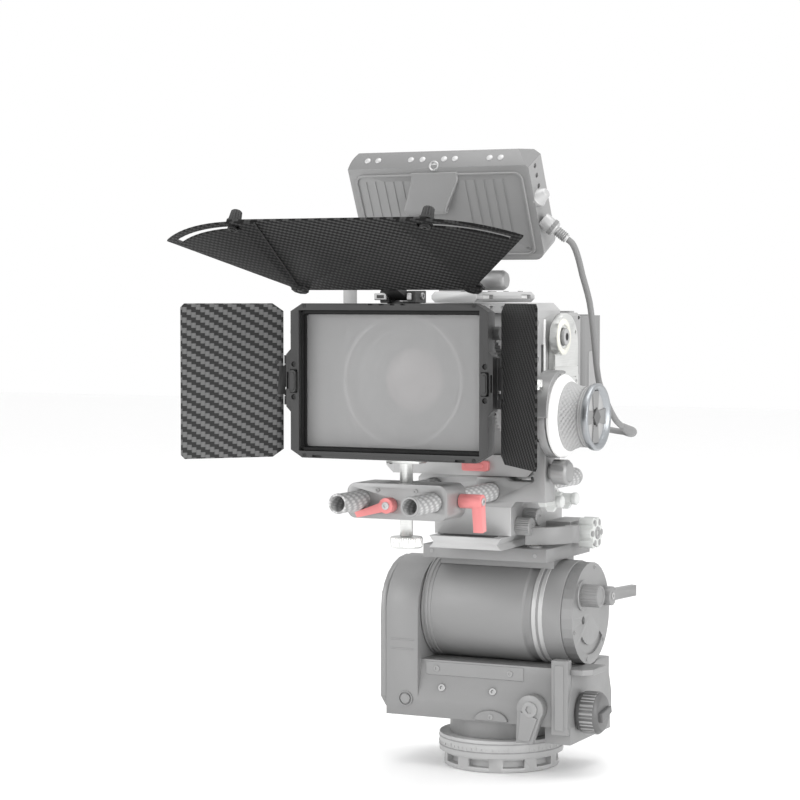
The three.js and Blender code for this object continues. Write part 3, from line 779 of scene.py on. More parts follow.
BEVELS = {
    "battery": 1.2, "camera_body": 0.8, "monitor_housing": 2.2, "top_rail": 0.5, "camera_cage": 0.6,
    "head_casting": 0.9, "head_side_cover": 1.2, "head_platform": 0.7, "tilt_drum": 0.5, "tilt_end_cap": 1.2,
    "matte_frame": 0.7, "matte_body": 0.5, "rod_base": 0.6, "ff_gearbox": 0.9, "side_plate": 0.5,
    "lens_support_bracket": 0.7, "plate_lock_knob": 1.2, "tilt_lock_lever": 1.0, "pan_lock_lever": 1.0,
    "pan_drag_knob": 0.8, "slide_plate": 0.5, "release_left": 0.6, "release_right": 0.6, "side_handle": 0.8,
    "top_flag": 0.25, "wing_left": 0.25, "wing_right": 0.25, "side_flag_left": 0.25, "side_flag_right": 0.25,
    "filter_glass": 0.2, "ff_marking_disc": 0.4, "plate_release_lever": 0.8, "head_base": 0.6,
}
FINE_ROUND = {"top_flag", "wing_left", "wing_right", "side_flag_left", "side_flag_right"}
for name, node in frame["nodes"].items():
    if name != "monitor_cable":
        finish_mesh(node, BEVELS.get(name, 0.35), 30 if name in FINE_ROUND else 35)


def paint_faces(node, look, inside):
    """Faces whose centre (in millimetres) passes the test take a second material."""
    mesh = frame["nodes"][node].data
    mesh.materials.append(LOOK[look])
    for face in mesh.polygons:
        if inside(Vector(face.center) / MM, Vector(face.normal)):
            face.material_index = 1


def local_to(matrix):
    inverse = matrix.inverted()
    return lambda point: inverse @ point


SIDE_PLACE = {
    s: Matrix.Translation((x, HINGES["side_flag_left_swing"].y, LENS_Z)) @ Matrix.Rotation(SIDE_HEADING[s],
            4, "Z")
    for s, x in (("left", -90), ("right", 90))
}
for s, place in SIDE_PLACE.items():
    to_flag = local_to(place)
    paint_faces("side_flag_" + s, "matte_plastic",
                lambda c, n, t=to_flag: t(c).x < 14.2 and abs(t(c).z) < 18.2)

FLAG = Matrix.Translation(FLAG_HINGE) @ Matrix.Rotation(-FLAG_RISE, 4, "X")
SCREEN = Matrix.Translation(MONITOR_HINGE) @ Matrix.Rotation(MONITOR_LEAN, 4, "X")
to_top = local_to(FLAG)
paint_faces("top_flag", "matte_plastic", lambda c, n: to_top(c).z > -7.3)
# Painted light: each wing's inner edge faces take a lighter grey, against the shade in the seam under the top flag.
for s, side in (("left", -1), ("right", 1)):
    paint_faces("wing_" + s, "wing_edge_painted_light", lambda c, n, k=side: -k * n.x > 0.5)


# ------------------------------------------------------------------ monitor
def make_monitor():
    cut = bmesh.new()
    # Long vents either side of the raised block, running up the back.
    for x in (-66, -58, -50, -42, -34, 20, 28, 36, 44, 52):
        add_prism(cut, "y", rounded_rectangle((x - 1, 36), (x + 1, 86), 0.95), 1.5, 2.95, matrix=SCREEN)
    # Oval holes on the right side.
    for n, u in ((15, 74), (15, 83), (15, 91)):
        add_prism(cut, "x", rounded_rectangle((n - 2.6, u - 1.8), (n + 2.6, u + 1.8), 1.7), 73.2, 76,
            matrix=SCREEN)
    # Screen recess.
    add_box(cut, (-74, 28.7, 23), (68, 30.5, 94), matrix=SCREEN)
    housing = carved("monitor_housing", cut, bevel=1.6, angle=28)
    # Painted shade: the faces that face up take a darker copy of the case's paint.
    housing.data.materials.append(LOOK["monitor_top"])
    for face in housing.data.polygons:
        if face.normal.z > 0.5:
            face.material_index = 1

    # Raised inner field with a rounded top corner at each side.
    bm = bmesh.new()
    outer = rounded_rectangle((-76, 21), (69, 92), 7)
    inner = rounded_rectangle((-74, 23), (67, 90), 5.4)
    frame_ring(bm, "y", outer, inner, 1.1, 3.0, matrix=SCREEN)
    piece("monitor_back_bead", bm, "monitor_case", "monitor", bevel=0.7)
    # Block in the middle: flush at its top, standing out at its bottom.
    bm = bmesh.new()
    rows = []
    for u, n, left, right in ((93, 1.2, -26, 14.5), (86, 0.2, -27, 14), (63, -4.6, -36, 1),
            (59.5, -3.6, -34.5, 0.5)):
        rows.append([bm.verts.new(SCREEN @ Vector((x, y, u))) for x, y in ((left, 3.2), (left, n + 1.2),
            (left + 1.4, n), (right - 1.4, n), (right, n + 1.2), (right, 3.2))])
    for a, b in zip(rows, rows[1:]):
        for k in range(6):
            m = (k + 1) % 6
            bm.faces.new((a[k], a[m], b[m], b[k]))
    bm.faces.new(rows[0])
    bm.faces.new(rows[-1][::-1])
    piece("monitor_back_block", bm, "monitor_case", "monitor", bevel=0.9, angle=20)
    piece("monitor_screen", box((-73.5, 28.6, 23.5), (67.5, 29.0, 93.5), matrix=SCREEN), "screen_glass",
        "monitor", slot="monitor_case", bevel=0.1)
    # Rounded screw heads along the slope to the ridge, and the socket at its middle.
    slope = Vector((0, -9.2, 16)).normalized()
    bm = bmesh.new()
    for share in (0.1, 0.16, 0.345, 0.41, 0.53, 0.59, 0.78, 0.84):
        at = SCREEN @ Vector((-81 + 156 * share, 9.5, 100.95))
        place = facing(at, SCREEN.to_3x3() @ slope)
        add_turned(bm, "z", [(0, -0.4), (2.7, -0.4), (2.5, 0.35), (1.8, 0.75), (0, 0.8)], sides=20,
            matrix=place)
    piece("monitor_top_screws", bm, "pale_metal", "monitor", slot="monitor_case", bevel=0)
    bm = bmesh.new()
    place = facing(SCREEN @ Vector((-5.5, 4.2, 97.4)), SCREEN.to_3x3() @ Vector((0, -0.75, 0.66)))
    add_turned(bm, "z", [(0, -1), (4.1, -1), (4.1, 0.9), (3.5, 1.4), (2.8, 1.0), (2.4, 0.2), (0, 0.2)],
        sides=32, matrix=place)
    piece("monitor_socket", bm, "pale_metal", "monitor", slot="monitor_case", bevel=0)
    places = [SCREEN @ Vector((x, 2.4, u)) for x, u in ((-70, 27), (63, 27))]
    screws("monitor_back_screws", places, SCREEN.to_3x3() @ Vector((0, -1, 0)), "screw_grey", 1.5, 0.6,
        body="monitor")
    # Conical upper plug on the right side, and the cable plug's relief and grip.
    bm = bmesh.new()
    plug = Matrix.Translation(SCREEN @ Vector((74.4, 10, 66))) @ SCREEN.to_3x3().to_4x4()
    plug = plug @ Matrix.Rotation(math.radians(-28), 4, "Y")
    add_turned(bm, "x", [(0, -1), (7.6, -1), (7.6, 1.6), (6.6, 2.4), (3.8, 9.4), (3, 10), (0, 10)], (0, 0),
        28, matrix=plug)
    piece("monitor_upper_plug", bm, "pale_metal", "monitor", slot="monitor_case", bevel=0.3)
    collar = SCREEN @ Matrix.Translation((76.5, 8, 49)) @ Matrix.Rotation(math.radians(135), 4, "Y")
    bm = bmesh.new()
    ribs = []
    for k in range(5):
        z = 15 + 1.7 * k
        ribs += [(3.5, z), (4.1, z + 0.2), (4.1, z + 0.9), (3.5, z + 1.1)]
    add_turned(bm, "z", [(0, 14.9)] + ribs + [(0, 23.4)], (0, 0), 20, matrix=collar)
    piece("cable_strain_relief", bm, "cable_rubber", "monitor", bevel=0)
    piece("plug_grip_ring", ring("z", [(5.9, 8.5), (6.5, 8.7), (6.5, 11.5), (5.9, 11.7)], (0, 0), 28,
        lambda a, z, r: r + 0.18 * math.cos(14 * a) if r > 6.2 else r, matrix=collar), "cable_rubber",
        "monitor", bevel=0)


# ------------------------------------------------------------------ flags and their knobs
def make_flags():
    for s, side in (("left", -1), ("right", 1)):
        a = math.radians(3)
        place = (side * (72 + 102.5 * math.sin(a)), -32.9 - 102.5 * math.cos(a))
        bm = bmesh.new()

        def flute(angle, z, r):
            return r - (0.6 if -5.3 < z < 2.6 and r > 3.6 else 0) * (0.5 + 0.5 * math.cos(12 * angle)) ** 2

        # The knob's waist, seat and fluted grip.
        profile = [(0, -12.6), (3.9, -12.6), (3.9, -11.5), (2, -11.5), (2, -7.1), (5.9, -7.1), (5.9, -5.6),
            (5.0, -5.2), (4.9, -4.4), (4.3, 1.6), (3.9, 2.5), (3.4, 2.8), (0, 2.8)]
        add_turned(bm, "z", profile, place, 96, flute, matrix=FLAG)
        knob = piece("knob_" + s, bm, "black_rubber", "wing_clamp_" + s, bevel=0, angle=40)
        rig.replaces(knob, "wing_knob_" + s)
        bm = bmesh.new()
        under = FLAG @ Vector((place[0], place[1], -12.55))
        add_socket_screw(bm, under, FLAG.to_3x3() @ Vector((0, 0, -1)), 2.4, 0.9)
        piece("knob_screw_" + s, bm, "screw_black", "wing_clamp_" + s, slot="black_rubber", bevel=0)
        bm = bmesh.new()
        pivot = Vector((side * 72, -32.9, 0))
        add_socket_screw(bm, FLAG @ (pivot + Vector((0, 0, -11.0))), FLAG.to_3x3() @ Vector((0, 0, -1)), 2,
            0.4)
        add_socket_screw(bm, FLAG @ (pivot + Vector((0, 0, -7.6))), FLAG.to_3x3() @ Vector((0, 0, 1)), 3, 0.8)
        piece("wing_pivot_" + s, bm, "screw_black", "top_flag", slot="black_rubber", bevel=0)
        # Two rivets through the side flag's clip.
        place = SIDE_PLACE[s]
        bm = bmesh.new()
        y = 0.3 if s == "left" else -1.9
        for z in (-14, 14):
            for direction, at in ((1, y + 1.5), (-1, y + 0.1)):
                point = place @ Vector((9.5, at, z))
                add_socket_screw(bm, point, place.to_3x3() @ Vector((0, direction, 0)), 1.7, 0.6)
        piece("flag_rivets_" + s, bm, "screw_black", "side_flag_" + s, slot="matte_plastic", bevel=0)


# ------------------------------------------------------------------ matte box
def make_matte_box():
    front = MATTE_FRONT
    cut = bmesh.new()
    # Notches in the top edge, recessed screw holes and slots in the ears.
    for x in (-16, -7, 2, 11):
        add_box(cut, (x, front - 1, 383.6), (x + 4, front + 3, 386))
    for side in (-1, 1):
        for z in (338.5, 313.4):
            add_turned(cut, "y", [(0, front + 2.2), (1.9, front + 2.2), (2.1, front - 0.5),
                (0, front - 0.5)], (side * 80, z), 20)
        add_box(cut, (min(side * 84.6, side * 85.8), front - 1, 319.5), (max(side * 84.6, side * 85.8),
            front + 3, 332.5))
        add_box(cut, (side * 60 - 4, front - 1, 267.6), (side * 60 + 4, front + 2.4, 269.2))
    carved("matte_frame", cut, bevel=0.7)
    bm = bmesh.new()
    # Stepped black gasket behind the frame: wide above and below the glass. It and the lip take a near-black that also
    # paints the shade in the recess round the glass.
    outer = rounded_rectangle((-77.8, 271.4), (77.8, 380.6), 4)
    inner = rounded_rectangle((-73.6, 275.5), (74.4, 376.5), 2.2)
    frame_ring(bm, "y", outer, inner, -207.3, -205.7)
    piece("glass_gasket", bm, "inner_black", slot="matte_plastic", bevel=0.2)
    bm = bmesh.new()
    outer = rounded_rectangle((-75.3, 272.5), (75.3, 379.5), 3)
    inner = rounded_rectangle((-74.6, 274.6), (74.9, 377.4), 2.5)
    frame_ring(bm, "y", outer, inner, -212.5, -209.2)
    piece("window_lip", bm, "inner_black", slot="matte_plastic", bevel=0.25)
    screws("frame_corner_screws", [(x, front + 0.1, z) for x in (-71, 71) for z in (268.9, 383.1)],
        (0, -1, 0), radius=1.5, height=0.7)
    # Screws low in the ear pockets, a pad on each release and a collar on each hinge pin.
    for s, side in (("left", -1), ("right", 1)):
        bm = bmesh.new()
        for z in (338.5, 313.4):
            add_socket_screw(bm, (side * 80, front + 2.1, z), (0, -1, 0), 1.6, 0.8)
        piece("ear_screws_" + s, bm, "screw_black", slot="matte_plastic", bevel=0)
        bm = bmesh.new()
        outline = rounded_rectangle((side * 80 - 1.9, 318.6), (side * 80 + 1.9, 332.4), 1.8)
        add_prism(bm, "y", outline, -219.0, -218.2)
        piece("release_pad_" + s, bm, "matte_plastic", "release_key_" + s, bevel=0.4)
        bm = bmesh.new()
        x = side * 90
        turned_ring(bm, "z", [(2.75, 318.5), (3.2, 318.7), (3.2, 320.7), (2.75, 320.9)],
            (x, HINGES["side_flag_left_swing"].y), 20)
        piece("hinge_collar_" + s, bm, "steel", "side_flag_" + s, slot="matte_plastic", bevel=0)
    # Screws on the shell's right wall and ribs on the clamp ring.
    screws("shell_screws", [(61.9, -191, 300), (61.9, -191, 352)], (1, 0, 0), radius=1.6, height=0.6)
    piece("clamp_ring_teeth", ring("y", [(51.8, -180.8), (52.6, -180.4), (52.6, -178.7), (51.8, -178.3)],
        (0, LENS_Z), 144, ribbed(48, 0.5, 52.2)), "matte_plastic", bevel=0)
    piece("clamp_ring_screw", turned("x", [(0, 51.8), (1.2, 51.8), (1.5, 52.2), (1.5, 55.6), (1.2, 56),
        (0, 56)], (-179.5, 326), 24), "matte_plastic", bevel=0)
    # Cheeks that close the hinge above the frame, and a pale bar split to let the flag's arm pass.
    cheeks = ((-15.5, -7.7), (7.7, 14.5))
    bm = boxes(((low, -197.5, 385.2), (high, -178, 394.6)) for low, high in cheeks)
    piece("flag_hinge_cheeks", bm, "matte_plastic", bevel=0.8)
    bars = ((-19, -8.4), (8.4, 12))
    bm = boxes(((low, -200.6, 387.4), (high, -198, 392.8)) for low, high in bars)
    piece("flag_hinge_bar", bm, "pale_metal", slot="pale_metal", bevel=0.9)
    piece("flag_hinge_inset", box((-16.5, -201.1, 388.9), (-10.5, -200.4, 391.3)), "matte_plastic", bevel=0.3)
    # Dark roller at each side behind the frame.
    bm = bmesh.new()
    for side in (-1, 1):
        low, high = sorted((side * 80.3, side * 87.6))
        add_turned(bm, "x", [(0, low), (4.6, low), (5, low + 0.5), (5, high - 0.5), (4.6, high), (0, high)],
            (-202.5, 363), 28)
    piece("side_rollers", bm, "matte_plastic", bevel=0)
    bm = bmesh.new()
    for x, way in ((-15.4, -1), (14.4, 1)):
        add_socket_screw(bm, (x, FLAG_HINGE.y, FLAG_HINGE.z), (way, 0, 0), 2.8, 1.4)
    piece("flag_hinge_screws", bm, "screw_grey", slot="matte_plastic", bevel=0)


# ------------------------------------------------------------------ lens and follow focus
def make_lens():
    teeth = 94
    bm = bmesh.new()
    profile = [(40.4, -106.9), (45.2, -106.9), (46.9, -106.2), (46.9, -94.1), (45.2, -93.4), (40.4, -93.4)]
    turned_ring(bm, "y", profile, (0, LENS_Z), teeth * 4, lambda a, y,
        r: r - 1.5 * smooth_tooth(a * teeth) if r > 46 else r)
    focus_teeth = piece("focus_teeth", bm, "lens_metal", "lens_focus", bevel=0, angle=25)
    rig.replaces(focus_teeth, "focus_ring")
    teeth = 35
    bm = bmesh.new()
    profile = [(0, -106.8), (4, -106.8), (4, -107), (12, -107), (12, -106.2), (15.2, -106.2),
        (17.1, -105.8), (17.1, -94.5), (15.2, -93.5), (3, -93.5), (3, -88.1), (0, -88.1)]
    add_turned(bm, "y", profile, (57, 296), teeth * 8, lambda a, y,
        r: r - 1.5 * smooth_tooth(a * teeth) if r > 16 else r)
    gear = piece("drive_gear_teeth", bm, "grey_plastic", "focus_gear", bevel=0, angle=25)
    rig.replaces(gear, "ff_drive_gear")
    # Fine grip rings on the barrel, its mount collar, and pale rings seen through the filter.
    bm = bmesh.new()
    for start, end in ((-144, -122), (-118, -110)):
        count = 90
        turned_ring(bm, "y", [(39.8, start), (40.7, start + 0.4), (40.7, end - 0.4), (39.8, end)],
            (0, LENS_Z), count * 4, ribbed(count, 0.55, 40.2))
    piece("barrel_grips", bm, "lens_metal", bevel=0)
    piece("mount_collar", ring("y", [(35.6, -81.6), (38.5, -81.6), (38.5, -78.4), (35.6, -78.4)],
        (0, LENS_Z), 64), "silver_metal", bevel=0.3)
    bm = bmesh.new()
    for radius in (39.4, 35.2, 31, 27.4):
        y = -184 + (41 - radius) * 0.845
        turned_ring(bm, "y", [(radius - 0.5, y - 0.1), (radius + 0.4, y - 0.9), (radius + 0.5, y + 0.6)],
            (0, LENS_Z), 72)
    turned_ring(bm, "y", [(48, -190.6), (50.6, -190.6), (50.6, -189.8), (48, -189.8)], (0, LENS_Z), 72)
    piece("baffle_rings", bm, "baffle_grey", slot="lens_metal", bevel=0)


def smooth_tooth(angle):
    return min(1, max(0, 0.5 + 0.9 * math.cos(angle)))


def make_follow_focus():
    y0, z0 = WHEEL_AXIS
    # Diagonally knurled, waisted grip; its flared end ring is bare metal.
    bm = bmesh.new()
    profile = [(0, 93.85), (27.4, 93.85)]
    for k in range(19):
        t = k / 18
        profile.append((27.4 - 3.3 * math.sin(min(1, t * 1.3) * math.pi / 2), 94.1 + 13 * t))
    profile += [(23.8, 107.6), (23.8, 111.4), (24.6, 111.9), (25.9, 112.6), (26.4, 114), (26.4, 116.8),
        (25.8, 117.6), (24.4, 117.9), (22.8, 117.2), (21.4, 115), (20.2, 113.7), (0, 113.7)]

    def knurl(angle, x, r):
        if not 94.2 < x < 107.2 or r < 20:
            return r
        twist = (x - 94) * 0.06
        return r - 0.7 * max(0, math.cos(34 * (angle + twist))) - 0.35 * max(0,
            math.cos(34 * (angle - twist)))

    add_turned(bm, "x", profile, (y0, z0), 408, knurl)
    grip = piece("focus_grip", bm, "grey_plastic", "focus_wheel", bevel=0, angle=50)
    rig.replaces(grip, "ff_grip")
    mesh = grip.data
    mesh.materials.append(LOOK["ring_metal"])
    for face in mesh.polygons:
        if face.center.x / MM > 111.6 and (face.center.yz - Vector((y0, z0)) * MM).length / MM > 20:
            face.material_index = 1
    # Four spokes round a dark diamond socket, over a dished floor.
    bm = bmesh.new()
    for k in range(4):
        turn = Matrix.Translation((0, y0, z0)) @ Matrix.Rotation(math.radians(90 * k), 4, "X")
        add_prism(bm, "x", [(6, -4.6), (20.6, -6.4), (20.6, 6.4), (6, 4.6)], 113.5, 115.2, matrix=turn)
    piece("wheel_spokes", bm, "head_cover", "focus_wheel", bevel=0.6)
    bm = bmesh.new()
    turn = Matrix.Translation((0, y0, z0)) @ Matrix.Rotation(math.radians(45), 4, "X")
    add_box(bm, (113.6, -5.4, -5.4), (116.2, 5.4, 5.4), matrix=turn)
    piece("wheel_socket", bm, "grip_dark", "focus_wheel", slot="rig_metal", bevel=0.4)
    piece("wheel_dish", ring("x", [(6, 113.6), (20, 113.6), (20, 114), (6, 114)], (y0, z0), 48),
        "pale_metal", "focus_wheel", bevel=0)
    bm = ring_set("x", [[(23.7, 107.2), (24.2, 107.4), (24.2, 108.2), (23.7, 108.4)],
        [(23.7, 109.6), (24.0, 109.7), (24.0, 110.1), (23.7, 110.2)]], (y0, z0), 80)
    piece("wheel_waist_rings", bm, "rig_metal", "focus_wheel", bevel=0)
    # Dark cover that sweeps over the marking disc, from front to top.
    bm = bmesh.new()
    band = []
    for k in range(19):
        a = math.radians(84 + 96 * k / 18)
        band.append((y0 + 33.6 * math.cos(a), z0 + 33.6 * math.sin(a)))
    for k in range(19):
        a = math.radians(180 - 96 * k / 18)
        reach = 35.6 + 2.6 * math.sin(math.pi * (18 - k) / 18)
        band.append((y0 + reach * math.cos(a), z0 + reach * math.sin(a)))
    add_prism(bm, "x", band, 74.5, 88)
    piece("disc_cover", bm, "rig_metal", bevel=0.7)
    # Stop knob, and the gear box's cover screws.
    piece("stop_knob", turned("z", [(0, 317.8), (3, 317.8), (3, 319.5), (4.6, 320), (4.6, 325), (4, 325.8),
        (0, 325.8)], (78, -112), 60, ribbed(20, 0.3, 4.3)), "silver_metal", bevel=0)
    screws("gearbox_screws", [(73, -92.7, z) for z in (282, 312)], (0, -1, 0), "screw_grey", 1.4, 0.5)
    piece("focus_clamp_grip", turned("x", [(0, 80.6), (9.6, 80.9), (10, 81.3), (10, 91.6), (9.4, 92.4),
        (8, 94), (7, 94), (6.4, 93.2), (0, 93.2)], (-82, 252), 96, ribbed(20, 0.9, 9.8)), "rig_metal",
        "focus_clamp", bevel=0, angle=30)


# ------------------------------------------------------------------ camera, cage, battery
def make_camera_parts():
    cut = bmesh.new()
    # Threaded holes along the cage's faces.
    holes = []
    for z in (256, 296, 340, 369):
        for side in (-1, 1):
            for y in (-79, -59, -39):
                if side == 1 and y > -60 and z > 300:
                    continue
                holes.append((side, y, z))
    for side, y, z in holes:
        start, end = (64.2, 66) if side > 0 else (-66, -64.2)
        if 275 <= z <= 309 or 318 <= z <= 352:
            if -72 <= y <= -62 or -54 <= y <= -44:
                continue
        add_turned(cut, "x", [(0, start), (2.6, start), (2.6, end), (0, end)], (y, z), 18)
    for side in (-1, 1):
        for x in (28, 38, 48):
            add_turned(cut, "z", [(0, 383.4), (2.4, 383.4), (2.4, 386), (0, 386)], (side * x, -45), 18)
            add_turned(cut, "y", [(0, -84.6), (1.8, -84.6), (1.8, -87), (0, -87)], (side * x, 381), 16)
    # Slot of the cold shoe.
    add_box(cut, (-62.4, -88, 388.4), (-51.6, -71, 390.2))
    add_box(cut, (-60, -88, 389.8), (-54, -71, 394))
    carved("camera_cage", cut, bevel=0.5, look="cage_metal")

    cut = bmesh.new()
    for k in range(9):
        add_box(cut, (18 + 3.6 * k, -2, 376), (20 + 3.6 * k, 24, 378))
        add_box(cut, (-57.5, -30 + 5 * k, 290), (-55.2, -27.6 + 5 * k, 322))
    add_box(cut, (56, -10, 296), (58, 30, 297))
    carved("camera_body", cut, bevel=0.7)
    bm = bmesh.new()
    for k in range(4):
        z = 336 + 9 * k
        outline = rounded_rectangle((8, z), (16, z + 5.5), 2.4)
        add_prism(bm, "x", outline, 56.2, 57.6)
    add_prism(bm, "x", rounded_rectangle((20, 300), (30, 326), 3), 56.2, 57.2)
    piece("camera_buttons", bm, "grey_plastic", bevel=0.4)
    piece("port_ring", ring("x", [(3.4, 61.7), (5.8, 61.7), (5.4, 64), (3.6, 64)], (10, 285), 28),
        "silver_metal", bevel=0.2)
    screws("camera_screws", [(56.3, y, z) for y in (-26, 30) for z in (268.5, 372.5)], (1, 0, 0),
        radius=1.6, height=0.5)
    # Battery: ribs at the back, a lid, a blank badge panel and its release.
    bm = boxes(((x, 89.8, 292), (x + 5, 90.8, 350)) for x in range(-30, 40, 10))
    piece("battery_ribs", bm, "battery_case", "battery_pack", bevel=0.4)
    piece("battery_lid", prism("z", rounded_rectangle((-44, 50), (50, 86), 4), 373.8, 374.8),
        "battery_case", "battery_pack", bevel=0.4)
    piece("battery_badge_panel", prism("x", rounded_rectangle((58, 300), (78, 344), 3), 53.8, 54.5),
        "camera_plastic", "battery_pack", bevel=0.2)
    piece("battery_release", prism("z", rounded_rectangle((-8, 37), (14, 44), 2), 377.8, 380.5),
        "red_metal", bevel=0.5)
    # Side plate: ivory dial ring, panel lines, hole and screws.
    piece("dial_ring", ring("x", [(9.6, 75.9), (14.4, 75.9), (14.4, 76.5), (13.6, 77), (10.2, 77),
        (9.6, 76.5)], DIAL, 56), "ivory", slot="white_plastic", bevel=0)
    piece("record_cap", ring("x", [(3.2, 78.4), (6.4, 78.4), (6.4, 78.9), (3.2, 79.2)], DIAL, 40),
        "grey_plastic", "record_key", slot="head_cover", bevel=0.1)
    # Painted shade: a near-black disc in the key's centre stands for the shade of a hole.
    piece("record_centre", turned("x", [(0, 78.4), (3.0, 78.4), (3.0, 78.9), (0, 78.9)], DIAL, 32),
        "dark_hole", "record_key", slot="head_cover", bevel=0)
    cut = bmesh.new()
    add_turned(cut, "x", [(0, 69.4), (1.7, 69.4), (1.7, 72), (0, 72)], (-13.5, 361), 18)
    add_box(cut, (70.4, -57.5, 333.4), (71.6, -7.5, 334.2))
    add_box(cut, (70.4, -52, 324.6), (71.6, -12, 325.3))
    carved("side_plate", cut, bevel=0.5)
    screws("side_plate_screws", [(70.9, -53, 321.5), (70.9, -12, 321.5)], (1, 0, 0), "steel", 1.6, 0.6)
    # Handle ribs, and pins on its arms.
    bm = bmesh.new()
    for k in range(9):
        z = 302 + 4.4 * k
        turned_ring(bm, "z", [(10.9, z), (11.7, z + 0.6), (11.7, z + 2.2), (10.9, z + 2.8)], (-95, -92), 48)
    piece("handle_ribs", bm, "handle_grip", bevel=0)
    screws("handle_screws", [(-85, -97, 275), (-85, -97, 369)], (0, -1, 0), "steel", 2.2, 1.0)
    # Rail: pale insets along its slots.
    bm = boxes(((14.3, y + 1, 388.3), (17, y + 19, 391.2)) for y in (-84, -6))
    piece("rail_insets", bm, "white_plastic", bevel=0.2)
    places = [(x, y, 393.9) for x in (-12, 12) for y in (-52, -20, 10)]
    screws("rail_screws", places, (0, 0, 1), "screw_grey", 2.2, 0.8)
    # Two pale strips on the cage's right edge.
    bm = boxes(((64.9, y, 312), (65.7, y + 3.6, 372)) for y in (-84.5, -67.5))
    piece("cage_strips", bm, "white_plastic", bevel=0.3)
    bm = bmesh.new()
    add_prism(bm, "y", rounded_rectangle((4, 251), (27, 259.5), 2), -90.5, -85.9)
    add_prism(bm, "y", rounded_rectangle((8, 253.2), (23, 257.4), 1.6), -91.4, -90.3)
    piece("cage_latch", bm, "red_metal", bevel=0.5)
    screws("cage_front_screws", [(x, -85.9, z) for x in (-61, 61) for z in (256, 300, 372)], (0, -1, 0),
        radius=2, height=0.8)


# ------------------------------------------------------------------ rods, clamps and levers
def make_rod_parts():
    bm = bmesh.new()
    for x in (-ROD_X, ROD_X):
        turned_ring(bm, "y", [(6.0, -239.6), (7.4, -239.6), (7.7, -239), (7.7, -236.8), (7.45, -236.6),
            (7.45, -236), (6.0, -236)], (x, ROD_Z), 48)
        turned_ring(bm, "y", [(6.0, 88.6), (7.4, 88.6), (7.7, 88), (7.7, 86), (7.45, 85.8), (6.0, 85.8)],
            (x, ROD_Z), 48)
    piece("rod_end_caps", bm, "carbon_rod_left", slot="carbon_tube", bevel=0)
    # Adjusting disc under the lens support: radial marks and a fluted rim.
    bm = bmesh.new()
    profile = [(0, 198.1), (11.4, 198.1), (12.6, 199.2), (12.8, 200.2), (12.8, 205), (12, 206.5), (0, 206.5)]
    add_turned(bm, "z", profile, (0, -183), 144, lambda a, z,
        r: r - 0.5 * (math.cos(36 * a) > 0.2) if r > 12.7 else r)
    disc = piece("height_disc_rim", bm, "silver_metal", "height_disc", bevel=0, angle=30)
    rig.replaces(disc, "support_disc")
    screws("support_screws", [(x, -200, z) for x, z in ((-22, 226), (22, 226), (-16, 243), (16, 243))],
        (0, -1, 0), "screw_grey", radius=1.7, height=0.8)
    screws("clamp_screws", [(44, y, 242) for y in (-64, -40, -16)], (1, 0, 0), radius=2, height=1)
    piece("support_pad", prism("z", rounded_rectangle((-12.5, -188.5), (12.5, -177.5), 2), 267.9, 269.3),
        "black_rubber", "lens_support_post", bevel=0.3)
    screws("front_lever_screw", [(-5, -208.9, 232)], (0, -1, 0), "steel", 3, 0.9, body="front_lock")
    screws("side_lever_screw", [(60.9, -176, 235)], (1, 0, 0), "steel", 3, 0.9, body="side_lock")
    screws("quick_front_screw", [(56.9, -54, 231)], (1, 0, 0), "steel", 2.8, 0.8, body="quick_front")
    screws("quick_rear_screw", [(56.9, -22, 231)], (1, 0, 0), "steel", 2.8, 0.8, body="quick_rear")
    # Bright wings on the two quick levers.
    for name, y in (("quick_front", -54), ("quick_rear", -22)):
        bm = bmesh.new()
        add_turned(bm, "x", [(0, 57.2), (5.2, 57.2), (5.2, 63), (4.2, 64), (4.2, 72), (5, 73), (5, 76),
            (4, 77), (0, 77)], (y, 226), 28)
        add_prism(bm, "y", [(59, 225), (64, 217.5), (69, 217.5), (74, 225)], y - 2, y + 2)
        piece(name + "_wing", bm, "star_white", name, slot="silver_metal", bevel=0.5)
    # Slide plate: rubber strips.
    bm = boxes(((-24, y, 196.2), (24, y + 9, 196.8)) for y in (-72, 54))
    piece("plate_strips", bm, "black_rubber", bevel=0.15)


